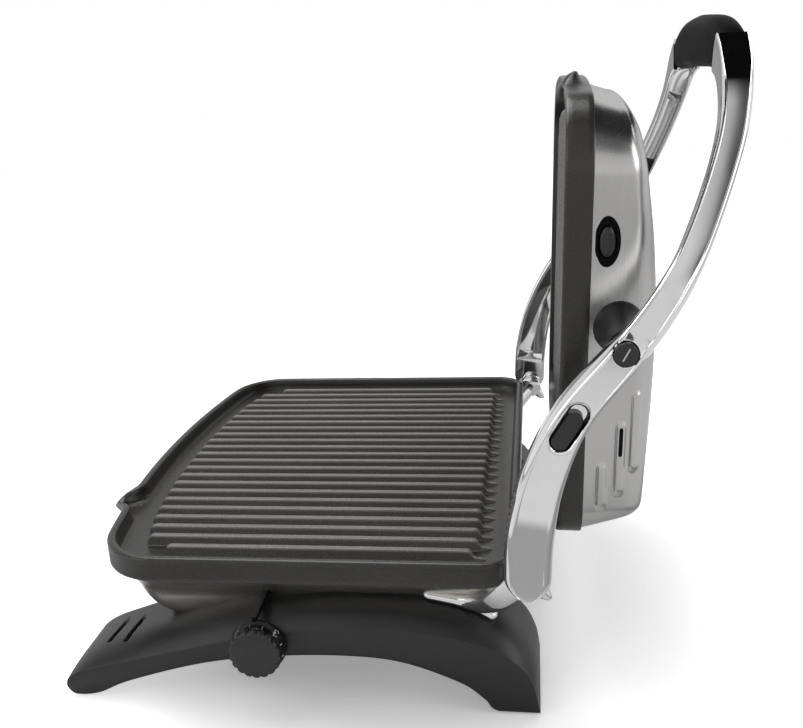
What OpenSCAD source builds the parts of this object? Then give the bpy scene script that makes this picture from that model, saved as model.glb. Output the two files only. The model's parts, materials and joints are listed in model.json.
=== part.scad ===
// Electric indoor grill with a hinged lid, shown open.
// X runs to the user's right, Y to the rear, Z up. The origin lies on the table,
// under the middle of the grill.

/* [Cooking plates] */
// Width of the lower plate
plate_w = 308; // [290:2:330]
// Length of the lower plate, rear edge to front edge
plate_l = 245; // [225:1:255]
// Height of a plate's rim band
plate_h = 14; // [12:0.5:18]
// Radius of the bowed front edge
front_r = 700; // [600:10:900]
// Radius of the two front corners
front_corner_r = 38; // [30:1:44]
// Radius of the two rear corners
rear_corner_r = 20; // [16:1:24]
// Thickness of the rim wall
rim_t = 5; // [4:0.5:7]
// Depth of the cooking floor below the rim
floor_depth = 9; // [8:0.5:10]
// Distance between two ribs
rib_pitch = 12; // [11:0.5:12.5]
// Width of a rib
rib_w = 5; // [4:0.5:6]
// Height of a rib above the cooking floor
rib_h = 6; // [4:0.5:7]
// Bare strip between the ribs and the rear edge
rib_rear_gap = 19; // [15:1:24]
// Distance of the pour spouts from the middle
spout_x = 62; // [50:1:70]
// Width of a pour spout at its root
spout_w = 44; // [36:1:50]
// How far a spout stands out of the front edge
spout_out = 10; // [8:0.5:12]
// Height of a pour spout
spout_h = 9.5; // [8:0.5:11]

/* [Base] */
// Height of the lower plate's rim above the table
rim_z = 93; // [90:0.5:100]
// Rear edge of the lower plate
plate_rear_y = 69; // [66:0.5:70]
// Distance between the outer faces of the two legs
legs_w = 300; // [290:2:304]
// Width of one leg
leg_w = 50; // [40:1:56]
// Wall of the base moulding
base_wall = 3; // [2.5:0.5:4]
// Width of the pedestal between the legs
pedestal_w = 224; // [200:2:236]
// Height of the rubber feet
foot_h = 3; // [2:0.5:4]

/* [Hinge] */
// Hinge axis, distance behind the middle
hinge_y = 75; // [74:0.5:77]
// Hinge axis, height above the table
hinge_z = 85.5; // [84:0.5:87]
// Diameter of the hinge pins
hinge_pin_d = 6; // [5:0.5:6.5]
// Outer diameter of the bushes on the hinge pins
bush_d = 9; // [8:0.5:10]
// Radius of the hinge knuckles
knuckle_r = 8; // [7:0.5:8.5]
// Angle between the open and the closed lid
open_angle = 91.5; // [90:0.5:94]

/* [Handle] */
// Distance between the inner faces of the two arms
arms_inner_w = 312.5; // [311:0.5:316]
// Thickness of an arm beside the lid
arm_t = 12.5; // [11:0.5:14]
// Width of an arm at its hinge
arm_w_low = 24; // [22:0.5:26]
// Width of an arm at the lid pivot
arm_w_mid = 17; // [16:0.5:19]
// Width of an arm above the lid
arm_w_high = 13.5; // [12:0.5:15]
// Wall beside the hollow of an arm
arm_wall = 2.6; // [2:0.2:3.4]
// Wall between the hollow and the outer face
arm_skin = 4; // [3:0.5:5]
// Height of the grip's section in the middle
grip_t = 28; // [22:1:30]
// Depth of the grip's section
grip_w = 17; // [14:1:20]

/* [Lid] */
// Width of the lid's cast plate
lid_w = 250; // [240:2:260]
// Length of the lid's cast plate
lid_l = 238; // [230:1:245]
// Gap between the two rims with the lid closed
closed_gap = 6; // [5:0.5:8]
// Height of the lid's crown above its open face
crown_h = 47; // [44:1:52]
// Sheet of the lid housing
lid_sheet = 1.4; // [1:0.2:2]
// Distance from the lid's rear edge to its pivot
pivot_back = 119.5; // [114:0.5:124]
// Height of the lid's pivot above its face
pivot_up = 28; // [26:0.5:30]
// Diameter of the lid's pivot pins
pivot_pin_d = 6; // [5:0.5:7]
// Diameter of the round pivot caps
pivot_cap_d = 12; // [11:0.5:13]

/* [Controls] */
// Diameter of the dial's fluted cap
dial_d = 28; // [24:1:32]
// Thickness of the dial
dial_t = 12; // [10:0.5:14]
// Number of flutes round the dial
dial_flutes = 18; // [12:1:24]
// Height of the dial's axis above the table
dial_z = 40; // [37:0.5:41]
// Distance of the dial's axis in front of the middle
dial_front = 73; // [66:1:80]
// Diameter of the dial's shaft
shaft_d = 6; // [5:0.5:7]
// Length of the slot in the right arm
slot_l = 25; // [22:0.5:27]
// Width of the slot in the right arm
slot_w = 9.6; // [8:0.2:10]
// Travel of the slider in its slot
slider_travel = 3; // [2:0.5:4]
// Length of the release button's oval
button_l = 15; // [13:0.5:17]
// Width of the release button's oval
button_w = 7.6; // [7:0.2:9]
// Travel of the release button
button_travel = 2.5; // [1.5:0.5:3]

/* [Hidden] */
$fn = 48;

// Clearances between pieces
fit = 0.3;
running = 0.05;
seat = 0.2;
cut = 1;

// ---------- curves ----------
// One point of a smooth curve through four neighbouring knots
function knot_mix(a, b, c, d, t) =
    0.5 * (2 * b + (c - a) * t + (2 * a - 5 * b + 4 * c - d) * t * t + (3 * b - a - 3 * c + d) * t * t * t);
// Smooth curve through all knots, with steps points from one knot to the next
function curve(knots, steps) = [
    for (i = [0 : len(knots) - 2], j = [0 : steps - 1])
        knot_mix(knots[max(i - 1, 0)], knots[i], knots[i + 1], knots[min(i + 2, len(knots) - 1)], j / steps),
    knots[len(knots) - 1]
];
function arc(centre, r, from, to, steps) =
    [for (i = [0 : steps]) let (a = from + (to - from) * i / steps)
        centre + r * [cos(a), sin(a)]];
function smooth(t) = let(c = max(0, min(1, t))) c * c * (3 - 2 * c);
function mix(a, b, t) = a + (b - a) * t;
function unit(v) = v / norm(v);
function reversed(list) = [for (i = [len(list) - 1 : -1 : 0]) list[i]];
module mirrored(side) {
    if (side > 0)
        children();
    else
        mirror([1, 0, 0])
            children();
}
function part_of(list, first, last) = [for (i = [first : last]) list[i]];

// ---------- outlines of the two cast plates ----------
// A size is [width, length]. The rear edge lies on y = 0 and the front edge is bowed
lower_size = [plate_w, plate_l];
upper_size = [lid_w, lid_l];
function bow_centre(size) = front_r - size[1];
function front_corner(size) = let(x = size[0] / 2 - front_corner_r, reach = front_r - front_corner_r)
    [x, bow_centre(size) - sqrt(reach * reach - x * x)];
function bow_angle(size) = asin(front_corner(size)[0] / (front_r - front_corner_r));
function plate_outline(size, grow, steps) = let(
    bow = bow_angle(size),
    front = front_corner(size),
    rear = [size[0] / 2 - rear_corner_r, -rear_corner_r]) concat(
    part_of(arc([0, bow_centre(size)], front_r + grow, 270 - bow, 270 + bow, 2 * steps), 1, 2 * steps - 1),
    arc(front, front_corner_r + grow, 270 + bow, 360, steps),
    arc(rear, rear_corner_r + grow, 0, 90, steps),
    arc([-rear[0], rear[1]], rear_corner_r + grow, 90, 180, steps),
    arc([-front[0], front[1]], front_corner_r + grow, 180, 270 - bow, steps)
);
function front_edge(size, x) = bow_centre(size) - sqrt(front_r * front_r - x * x);
// A spout swells out of the front edge to a soft point
module spout_shape(size, out, width) {
    polygon(concat(
        [for (i = [-8 : 8]) let(x = spout_x + i / 8 * width / 2)
            [x, front_edge(size, x) - out * pow(0.5 + 0.5 * cos(180 * i / 8), 1.4)]],
        [[spout_x + width / 2, front_edge(size, spout_x) + 2 * rim_t],
            [spout_x - width / 2, front_edge(size, spout_x) + 2 * rim_t]]));
}

// ---------- cast plate, face up, its rim's top at z = 0 ----------
rib_front_inset = 20;
module rib(size, x, shorten) {
    front = front_edge(size, x) + rib_front_inset + shorten;
    rear = -rib_rear_gap - shorten;
    translate([x + rib_w / 2, 0, -floor_depth])
        rotate([90, 0, -90])
            linear_extrude(rib_w)
                polygon([[-rear - 5, 0], [-rear, 1], [-rear + 4, rib_h], [-front - 6, rib_h], [-front, 1],
                    [-front + 1, 0], [-front + 1, -cut], [-rear - 5, -cut]]);
}
module cast_plate(size) {
    ribs_each_side = floor((size[0] / 2 - rim_t - rib_pitch) / rib_pitch);
    difference() {
        union() {
            translate([0, 0, -plate_h])
                linear_extrude(plate_h)
                    polygon(plate_outline(size, 0, 10));
            translate([0, 0, -spout_h])
                linear_extrude(spout_h)
                    spout_shape(size, spout_out, spout_w);
        }
        translate([0, 0, -floor_depth])
            linear_extrude(floor_depth + cut)
                polygon(plate_outline(size, -rim_t, 10));
        // Pour channel
        translate([0, 0, rim_t / 2 - spout_h])
            linear_extrude(spout_h + cut)
                spout_shape(size, spout_out - rim_t * 0.7, spout_w - 2 * rim_t);
        // Notch in the lip, where the fat runs out
        translate([spout_x, front_edge(size, spout_x) - spout_out, 0])
            rotate([-90, 0, 0])
                cylinder(r = rim_t * 0.6, h = rim_t);
        // Recess for the heating element's side
        translate([0, 0, -plate_h - cut])
            linear_extrude(plate_h - floor_depth - 3 + cut)
                polygon(plate_outline(size, -rim_t - 3, 10));
    }
    for (i = [-ribs_each_side : ribs_each_side])
        rib(size, i * rib_pitch, abs(i) == ribs_each_side ? 10 : 0);
}

// ---------- heating element: a tube bent into a loop with two straight ends ----------
element_d = 6.5;
element_bend = 32;
// The loop keeps the same distance from every plate's edge
function element_size(size) = [size[0] - 88, size[1] - 95];
module bend(centre, from) {
    translate(centre)
        rotate([0, 0, from])
            rotate_extrude(angle = 90)
                translate([element_bend, 0])
                    circle(d = element_d, $fn = 24);
}
module tube(from, to) {
    length = norm(to - from);
    translate(from)
        rotate([0, 0, atan2(to[1] - from[1], to[0] - from[0])])
            rotate([0, 90, 0])
                cylinder(d = element_d, h = length, $fn = 24);
}
module element(size) {
    loop = element_size(size);
    x = loop[0] / 2 - element_bend;
    y = loop[1] / 2 - element_bend;
    for (corner = [[x, y, 0], [-x, y, 90], [-x, -y, 180], [x, -y, 270]])
        bend([corner[0], corner[1], 0], corner[2]);
    tube([-x, -loop[1] / 2, 0], [x, -loop[1] / 2, 0]);
    for (side = [-1, 1]) {
        tube([side * loop[0] / 2, -y, 0], [side * loop[0] / 2, y, 0]);
        tube([side * x, loop[1] / 2, 0], [side * 14, loop[1] / 2, 0]);
    }
}

// Thin tray behind an element, open towards it
tray_sheet = 0.8;
module reflector_tray(size, height) {
    loop = element_size(size);
    difference() {
        linear_extrude(height)
            offset(r = 20)
                square([loop[0] - 20, loop[1] - 20], center = true);
        translate([0, 0, tray_sheet])
            linear_extrude(height)
                offset(r = 20 - tray_sheet)
                    square([loop[0] - 20, loop[1] - 20], center = true);
    }
}

// ---------- base ----------
leg_out = legs_w / 2;
leg_in = leg_out - leg_w;
leg_foot_z = 1.2;
leg_top_knots = [[-190, 5], [-186.5, 14], [-176, 22.5], [-158, 30.5], [-118, 45], [-70, 57], [-20, 62],
    [25, 59], [55, 51], [70, 40], [77.5, 26], [80, 12]];
// The same edge on the outer face, where the top has sloped down
leg_outer_knots = [[-189, 4.5], [-185.5, 10], [-175.5, 15.5], [-158, 21.5], [-118, 34.5],
    [-70, 46.5], [-20, 51.5],
    [25, 48.5], [54, 41], [68.5, 31.5], [76, 20], [78.5, 10]];
leg_arch_knots = [[-187, leg_foot_z], [-180, leg_foot_z], [-172, 3], [-152, 12], [-109, 25],
    [-70, 31], [-28, 33],
    [5, 30], [37, 18], [50, 8], [57, leg_foot_z], [80, leg_foot_z]];
leg_steps = 3;
function on_foot(line) = [for (p = line) [p[0], max(p[1], leg_foot_z)]];
leg_top = curve(leg_top_knots, leg_steps);
leg_outer = curve(leg_outer_knots, leg_steps);
leg_arch = on_foot(curve(leg_arch_knots, leg_steps));
leg_points = concat(leg_top, reversed(leg_arch));
// Distance from the leg's outer face, and share of the slope that is reached there
leg_slope = [[leg_w, 0], [24, 0], [17, 0.09], [10.5, 0.36], [5, 0.7], [2, 0.9], [0.5, 1.02], [0, 1.12]];
leg_drop = 10.5;
function leg_height(y, inset) = mix(lookup(y, leg_top), lookup(y, leg_outer), lookup(inset, leg_slope));
// Stands a side-view shape up between two distances from the middle, on one side
module between(side, near, far) {
    translate([side > 0 ? near : -far, 0, 0])
        rotate([90, 0, 90])
            linear_extrude(far - near)
                children();
}
// Ribbon of four-sided stations between the top edge and the arch, carried across the leg
module leg_solid(side) {
    count = len(leg_top);
    rings = [for (step = leg_slope) concat(
        [for (p = mix(leg_top, leg_outer, step[1])) [leg_out - step[0], p[0], p[1]]],
        [for (p = leg_arch) [leg_out - step[0], p[0], p[1]]])];
    last = len(rings) - 1;
    n = 2 * count;
    across = [for (k = [0 : last - 1], i = [0 : count - 2]) each [
        [k * n + i, (k + 1) * n + i, (k + 1) * n + i + 1],
        [k * n + i, (k + 1) * n + i + 1, k * n + i + 1],
        [k * n + count + i, (k + 1) * n + count + i + 1, (k + 1) * n + count + i],
        [k * n + count + i, k * n + count + i + 1, (k + 1) * n + count + i + 1]]];
    ends = [for (k = [0 : last - 1], i = [0, count - 1]) let(
        a = k * n + i, b = (k + 1) * n + i, c = (k + 1) * n + count + i, d = k * n + count + i)
        each i == 0 ? [[a, d, c], [a, c, b]] : [[a, c, d], [a, b, c]]];
    sides = [for (i = [0 : count - 2]) let(o = last * n) each [
        [i, i + 1, count + i + 1],
        [i, count + i + 1, count + i],
        [o + i, o + count + i + 1, o + i + 1],
        [o + i, o + count + i, o + count + i + 1]]];
    mirrored(side)
        polyhedron([for (r = rings) each r], [for (face = concat(across, ends, sides)) reversed(face)]);
}
pocket_out = leg_out - 8;
pocket_drop = leg_drop / 2;
module leg_pocket_shape(gap) {
    difference() {
        offset(delta = -base_wall - gap)
            translate([0, -pocket_drop])
                polygon(leg_points);
        translate([-300, -20])
            square([600, foot_h + 3 + 20 + gap]);
    }
}
pedestal_top = rim_z - plate_h - 13;
pedestal_front = -118;
pedestal_rear = 52;
pedestal_base = 38;
gland_z = pedestal_base + 9;
pedestal_mid = (pedestal_front + pedestal_rear) / 2;
hollow_w = 2 * (leg_in - base_wall);
hollow_l = pedestal_rear - pedestal_front - 2 * base_wall;
module pedestal_shape(grow) {
    translate([0, pedestal_mid])
        offset(r = 22 + grow)
            square([pedestal_w - 44, pedestal_rear - pedestal_front - 44], center = true);
}
module pedestal_solid() {
    translate([0, 0, pedestal_base])
        linear_extrude(pedestal_top - pedestal_base)
            pedestal_shape(0);
    // Soft shoulder where the pedestal meets the legs
    hull() {
        translate([0, 0, 54])
            linear_extrude(1)
                pedestal_shape(10);
        translate([0, 0, 62])
            linear_extrude(0.5)
                pedestal_shape(1);
    }
}
cover_t = 2.5;
foot_len = 14;
foot_places = [for (side = [-1, 1], y = [-182, 67]) [side * (leg_in + leg_w / 2), y]];
foot_w = 26;
module foot_block(place, grow) {
    translate([place[0], place[1], 0])
        linear_extrude(foot_h + grow)
            offset(r = 2 + grow)
                square([foot_w - 4, (place[1] < 0 ? 8 : foot_len) - 4], center = true);
}
base_screw_places = [for (x = [-80, 80], y = [-95, 30]) [x, y]];
module base_stand() color("#2b2b2d") {
    difference() {
        union() {
            for (side = [-1, 1])
                leg_solid(side);
            pedestal_solid();
        }
        for (side = [-1, 1])
            between(side, leg_in + base_wall, pocket_out)
                leg_pocket_shape(0);
        // Hollow of the pedestal, open below
        translate([0, pedestal_mid, pedestal_base - cut])
            linear_extrude(pedestal_top - base_wall - pedestal_base + cut)
                square([hollow_w, hollow_l], center = true);
        for (place = foot_places)
            foot_block(place, 0);
        // Dial shaft bore and the two moulded slots of each front foot
        translate([pocket_out - cut, -dial_front, dial_z])
            rotate([0, 90, 0])
                cylinder(d = shaft_d + 2 * running, h = 20);
        for (side = [-1, 1], i = [0, 1])
            translate([side * (leg_out - 19), -163 + 9 * i, 20])
                rotate([0, 0, side * 24])
                    linear_extrude(30)
                        offset(r = 1.5)
                            square([17, 0.4], center = true);
        // Cord gland seat
        translate([0, pedestal_rear - 12, gland_z])
            rotate([-90, 0, 0])
                cylinder(d = 12 + 2 * seat, h = 20);
        // Bracket screw holes
        for (side = [-1, 1], place = bracket_screw_places)
            translate([side * place[0], place[1], 30])
                cylinder(d = 4.2, h = 50);
    }
    // Screw posts that carry the bottom cover
    for (place = base_screw_places)
        translate([place[0], place[1], pedestal_base + cover_t])
            difference() {
                cylinder(d = 9, h = pedestal_top - base_wall - pedestal_base - cover_t);
                translate([0, 0, -cut])
                    cylinder(d = 3, h = 14);
            }
}
module bottom_cover() color("#222224") {
    translate([0, 0, pedestal_base])
        difference() {
            translate([0, pedestal_mid, 0])
                linear_extrude(cover_t)
                    square([hollow_w - 2 * fit, hollow_l - 2 * fit], center = true);
            for (place = base_screw_places)
                translate([place[0], place[1], -cut])
                    cylinder(d = 4.2, h = cover_t + 2 * cut);
            // Ventilation slots
            for (i = [-5 : 5])
                translate([i * 10, 0, -cut])
                    linear_extrude(cover_t + 2 * cut)
                        offset(r = 1.5)
                            square([0.2, 50], center = true);
        }
}
module leg_cover(side) color("#222224") {
    between(side, leg_in + base_wall + fit, pocket_out - fit)
        difference() {
            intersection() {
                leg_pocket_shape(fit);
                polygon(leg_points);
            }
            translate([0, cover_t])
                polygon(leg_points);
        }
}
module leg_cover_left() { leg_cover(-1); }
module leg_cover_right() { leg_cover(1); }
module rubber_feet() color("#1a1a1a") {
    for (place = foot_places)
        foot_block(place, 0);
}
module cover_screws() color("silver") {
    for (place = base_screw_places)
        translate([place[0], place[1], pedestal_base - 2]) {
            cylinder(d = 7, h = 2);
            cylinder(d = 3, h = cover_t + 8);
        }
}

// ---------- lower cooking unit ----------
housing_top = rim_z - plate_h;
module housing_rings(top_grow, bottom_grow, top_z, bottom_z) {
    hull() {
        for (ring = [[top_grow, top_z - 0.4], [(top_grow + bottom_grow) / 2 + 4, bottom_z + 5],
            [bottom_grow, bottom_z]])
            translate([0, plate_rear_y, ring[1]])
                linear_extrude(0.4)
                    polygon(plate_outline(lower_size, ring[0], 5));
    }
}
module lower_housing() color("#a9a9a7") {
    difference() {
        housing_rings(-7, -27, housing_top, pedestal_top);
        housing_rings(-8.4, -28.4, housing_top + 0.4, pedestal_top + 1.4);
    }
}
module lower_plate() color("#3a3937") {
    translate([0, plate_rear_y, rim_z])
        cast_plate(lower_size);
}
plate_under = rim_z - floor_depth - 3;
element_y = plate_rear_y - plate_l / 2;
module lower_element() color("#6f6a66") {
    translate([0, element_y, plate_under - element_d / 2])
        element(lower_size);
}
reflector_z = pedestal_top + 1.4;
module lower_reflector() color("silver") {
    translate([0, element_y, reflector_z])
        reflector_tray(lower_size, plate_under - element_d - reflector_z);
}
clip_w = 16;
module plate_clip_pair(size) {
    for (side = [-1, 1])
        translate([side * (size[0] / 2 - rim_t - 3 - 4), 0, -plate_h])
            linear_extrude(plate_h - floor_depth - 3)
                square([8 - fit, clip_w], center = true);
}
module lower_plate_clips() color("silver") {
    translate([0, element_y, rim_z])
        plate_clip_pair(lower_size);
}
thermostat_x = leg_out - 34;
thermostat_d = 11;
shaft_socket = 12;
module thermostat() color("#8a8a86") {
    translate([thermostat_x, -dial_front, dial_z])
        rotate([0, 90, 0])
            difference() {
                union() {
                    cylinder(d = thermostat_d, h = pocket_out - thermostat_x - seat);
                    translate([-thermostat_d / 2 + 1, -14, 0])
                        cube([thermostat_d - 2, 28, 3]);
                }
                translate([0, 0, shaft_socket])
                    cylinder(d = shaft_d + 2 * running, h = 40);
            }
}
module terminal_block() color("white") {
    translate([-16, 20, pedestal_base + cover_t])
        difference() {
            cube([32, 12, 12]);
            for (i = [0 : 2])
                translate([6 + 10 * i, -cut, 6])
                    rotate([-90, 0, 0])
                        cylinder(d = 3.4, h = 14);
        }
}
module cord_gland() color("#1d1d1d") {
    translate([0, pedestal_rear, gland_z])
        rotate([-90, 0, 0])
            difference() {
                union() {
                    translate([0, 0, -8])
                        cylinder(d = 12, h = 10);
                    cylinder(d = 13.4, h = 2);
                }
                translate([0, 0, -10])
                    cylinder(d = 7.5, h = 14);
            }
}
// A fin beside the dial stands on the leg's slope and leans in under the housing
pointer_y = 7 - dial_front;
pointer_low = dial_z + dial_d / 2 + 3.5;
module dial_pointer() color("#3c3c3e") {
    translate([0, pointer_y + 1.3, 0])
        rotate([90, 0, 0])
            linear_extrude(2.6)
                polygon(concat(
                    [for (inset = [13, 10.5, 7, 5, 2, 0.2])
                        [leg_out - inset, leg_height(pointer_y + 1.3, inset) + fit]],
                    [[leg_out, pointer_low - 2], [leg_out + 1.4, pointer_low],
                        [leg_out - 1, pointer_low + 2.5],
                        [leg_out - 13, pointer_low + 10], [leg_out - 14.5, pointer_low + 9]]));
}

// ---------- hinge brackets ----------
bracket_x = 130;
bracket_z = 60.5;
knuckle_in = 147;
knuckle_out = arms_inner_w / 2 - fit;
bracket_screw_places = [[bracket_x - 1.5, 24], [bracket_x + 1, 34]];
// Height of a pocket's ceiling over one place of the leg
function ceiling(y) = lookup(y, leg_top) - pocket_drop - base_wall;
// Side-view neck that curves up from the foot to the knuckle
neck_knots = [[38, bracket_z - 1], [54, bracket_z + 1.5], [67, 70], [74, 80]];
neck_half = 3;
module neck_shape() {
    line = curve(neck_knots, 5);
    for (i = [0 : len(line) - 2])
        hull() {
            translate(line[i])
                circle(r = neck_half, $fn = 24);
            translate(line[i + 1])
                circle(r = neck_half, $fn = 24);
        }
}
module hinge_bracket(side) color("#d7d7d9") {
    difference() {
        union() {
            // Wishbone foot on the leg
            translate([0, 0, bracket_z - 6])
                linear_extrude(8)
                    for (tip = [[bracket_x - 3, 17], [bracket_x + 10, 58]])
                        hull() {
                            translate([side * tip[0], tip[1]])
                                circle(r = 3.4, $fn = 32);
                            translate([side * (bracket_x + 2), 41])
                                circle(r = 5.6, $fn = 32);
                        }
            intersection() {
                between(side, bracket_x - 4, knuckle_out)
                    neck_shape();
                // The neck swings outwards on its way up
                translate([0, 0, bracket_z - 6])
                    linear_extrude(40)
                        hull() {
                            translate([side * (bracket_x + 4), 34])
                                circle(r = 6, $fn = 32);
                            translate([side * ((knuckle_in + knuckle_out) / 2), hinge_y])
                                circle(r = (knuckle_out - knuckle_in) / 2, $fn = 32);
                        }
            }
            between(side, knuckle_in, knuckle_out)
                translate([hinge_y, hinge_z])
                    circle(r = knuckle_r);
            // Pointed stop lug behind the knuckle
            between(side, knuckle_in + 4, knuckle_out)
                hull() {
                    translate([hinge_y + 2, hinge_z - 2])
                        circle(r = 5, $fn = 32);
                    translate([hinge_y + 10, hinge_z - 10])
                        circle(r = 1.6, $fn = 32);
                }
        }
        // The foot follows the leg's top
        between(side, leg_in - 5, leg_out + 10)
            offset(delta = fit / 2)
                polygon(leg_points);
        translate([side * (knuckle_in - 1), hinge_y, hinge_z])
            rotate([0, side * 90, 0])
                cylinder(d = hinge_pin_d, h = 30);
        for (place = bracket_screw_places)
            translate([side * place[0], place[1], 30])
                cylinder(d = 4.2, h = bracket_z - 30);
    }
}
module hinge_bracket_left() { hinge_bracket(-1); }
module hinge_bracket_right() { hinge_bracket(1); }
module bracket_screws() color("silver") {
    for (side = [-1, 1], place = bracket_screw_places)
        translate([side * place[0], place[1], ceiling(place[1]) - 2.4]) {
            cylinder(d = 7, h = 1.6);
            cylinder(d = 4, h = bracket_z - fit - ceiling(place[1]) + 2.4);
        }
}
pin_in = knuckle_in + 1;
pin_out = arms_inner_w / 2 + 9;
module hinge_pin(side) color("silver") {
    translate([side * pin_in, hinge_y, hinge_z])
        rotate([0, side * 90, 0])
            cylinder(d = hinge_pin_d, h = pin_out - pin_in);
}
module hinge_pin_left() { hinge_pin(-1); }
module hinge_pin_right() { hinge_pin(1); }
module hinge_bush(side) color("#b9a06a") {
    translate([side * arms_inner_w / 2, hinge_y, hinge_z])
        rotate([0, side * 90, 0])
            difference() {
                cylinder(d = bush_d, h = 8);
                translate([0, 0, -cut])
                    cylinder(d = hinge_pin_d + 2 * running, h = 10);
            }
}
module hinge_bush_left() { hinge_bush(-1); }
module hinge_bush_right() { hinge_bush(1); }

// ---------- handle ----------
arm_x = (arms_inner_w + arm_t) / 2;
// Middle line of the right half of the handle, from the hinge end to the middle of the grip
handle_knots = [[arm_x, 74, 93], [arm_x, 75.5, 116], [arm_x, 82, 146], [arm_x, 95.5, 177], [arm_x, 118, 206],
    [159.5, 127.5, 216], [150, 140, 231], [137, 152, 249], [121, 166, 283], [107, 173.5, 309],
    [84, 176.5, 332],
    [48, 177, 342], [0, 177, 344]];
steps = 4;
handle_line = curve(handle_knots, steps);
// Knot numbers along the line
pivot_knot = 4;
inlay_knot = 8;
joint_knot = 10;
width_at_knot = [arm_w_low, arm_w_low, 22, 18.8, arm_w_mid, 16, 15, 14, arm_w_high, 14.2, 16,
    grip_w, grip_w];
thick_at_knot = [arm_t, arm_t, arm_t, arm_t, arm_t, 12.4, 12.2, 12, 12, 13, 17, 25, grip_t];
line_width = curve(width_at_knot, steps);
line_thick = curve(thick_at_knot, steps);
function tangent(line, i) = unit(line[min(i + 1, len(line) - 1)] - line[max(i - 1, 0)]);
// Outward and rearward directions of the section at one station of the line
function outward(t) = unit([t[2], 0, -t[0]]);
function rearward(t) = cross(t, outward(t));
// A section: pairs of a share of the width and a share of the thickness
arm_section = [[-0.5, -0.5], [0.5, -0.5], [0.5, 0.22], [0.4, 0.42], [0.2, 0.5], [-0.2, 0.5], [-0.4, 0.42],
    [-0.5, 0.22]];
grip_section = [for (a = [15 : 30 : 345]) let(c = cos(a), s = sin(a))
    0.5 * [sign(c) * pow(abs(c), 0.6), sign(s) * pow(abs(s), 0.6)]];
function ring(section, centre, t, w, h) =
    [for (p = section) centre + rearward(t) * (p[0] * w) + outward(t) * (p[1] * h)];
function middle(points) = [for (p = points) 1] * points / len(points);
// Closed solid through equal rings, its two ends closed by fans
module skin(rings) {
    n = len(rings[0]);
    last = len(rings) - 1;
    start_tip = n * (last + 1);
    end_tip = start_tip + 1;
    points = concat([for (r = rings) each r], [middle(rings[0]), middle(rings[last])]);
    sides = [for (k = [0 : last - 1], i = [0 : n - 1]) let(j = (i + 1) % n) each [
        [k * n + i, k * n + j, (k + 1) * n + j],
        [k * n + i, (k + 1) * n + j, (k + 1) * n + i]]];
    ends = [for (i = [0 : n - 1]) let(j = (i + 1) % n) each [
        [j, i, start_tip], [last * n + i, last * n + j, end_tip]]];
    polyhedron(points, concat(sides, ends));
}
// The grip starts a hair beyond the arm's end
joint_gap = 0.3;
function station_rings(section, first, last) = [for (i = [first : last])
    ring(section, handle_line[i], tangent(handle_line, i), line_width[i], line_thick[i])];
// Hollow of an arm: the section's walls and skin have a constant thickness
function hollow_ring(i, gap) = let(
    t = tangent(handle_line, i),
    w = line_width[i] / 2 - arm_wall - gap,
    low = -line_thick[i] / 2 - (gap > 0 ? 0 : 1),
    high = line_thick[i] / 2 - arm_skin - gap)
    [for (p = [[-w, low], [w, low], [w, high], [-w, high]])
        handle_line[i] + rearward(t) * p[0] + outward(t) * p[1]];
function hollow_rings(first, last, gap) = [for (i = [first : last]) hollow_ring(i, gap)];
// The rounded lower end continues the section below the hinge knot
end_r = arm_w_low / 2;
end_rings = [for (a = [80 : -16 : 0]) let(drop = end_r * sin(a))
    ring(arm_section, handle_line[0] - [0, 0, drop], [0, 0, 1], 2 * end_r * cos(a), arm_t)];
hollow_from = 4;
pivot_station = pivot_knot * steps;
joint_station = joint_knot * steps;
// Lid frame: the closed lid's rear edge lies on y = 0 and its rim on z = 0, and opening swings it up
closed_y = plate_rear_y;
closed_z = rim_z + closed_gap;
module lid_place() {
    translate([0, hinge_y, hinge_z])
        rotate([-open_angle, 0, 0])
            translate([0, closed_y - hinge_y, closed_z - hinge_z])
                children();
}
// The lid's pivot axis in the open pose
pivot_rel = [closed_y - pivot_back - hinge_y, closed_z + pivot_up - hinge_z];
pivot_at = [hinge_y + pivot_rel[0] * cos(open_angle) + pivot_rel[1] * sin(open_angle),
    hinge_z - pivot_rel[0] * sin(open_angle) + pivot_rel[1] * cos(open_angle)];
arm_out = arm_x + arm_t / 2;
// Slot for the slider, along the arm's middle line between two knots
slot_knot = 3;
slot_at = handle_line[slot_knot * steps] - [0, 1, 3];
slot_dir = tangent(handle_line, slot_knot * steps);
slot_angle = atan2(slot_dir[2], slot_dir[1]);
module slot_shape(length, width) {
    hull()
        for (end = [-1, 1])
            translate([end * (length - width) / 2, 0])
                circle(d = width);
}
module at_slot(x) {
    translate([x, slot_at[1], slot_at[2]])
        rotate([slot_angle, 0, 0])
            rotate([90, 0, 90])
                children();
}
cap_depth = 2.2;
module arm(side) color("#d9dadc") mirrored(side) {
    difference() {
        union() {
            skin(concat(end_rings, station_rings(arm_section, 1, joint_station)));
        }
        skin(hollow_rings(hollow_from, pivot_station - 2, 0));
        skin(hollow_rings(pivot_station + 2, joint_station, 0));
        // Blind hinge bore
        translate([arms_inner_w / 2 - cut, hinge_y, hinge_z])
            rotate([0, 90, 0])
                cylinder(d = bush_d, h = 9 + cut + fit);
        // Bore and cap recess of the lid pivot
        translate([arm_out - cap_depth, pivot_at[0], pivot_at[1]])
            rotate([0, 90, 0]) {
                cylinder(d = pivot_cap_d + 2 * seat, h = 10);
                translate([0, 0, -30])
                    cylinder(d = pivot_pin_d + 2 * running, h = 40);
            }
        if (side > 0)
            at_slot(arm_out - arm_skin - 4)
                linear_extrude(20)
                    slot_shape(slot_l, slot_w);
        grip_screw_holes(3.2);
    }
}
module arm_left() { arm(-1); }
module arm_right() { arm(1); }
grip_screw_station = (inlay_knot + 1) * steps;
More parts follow.
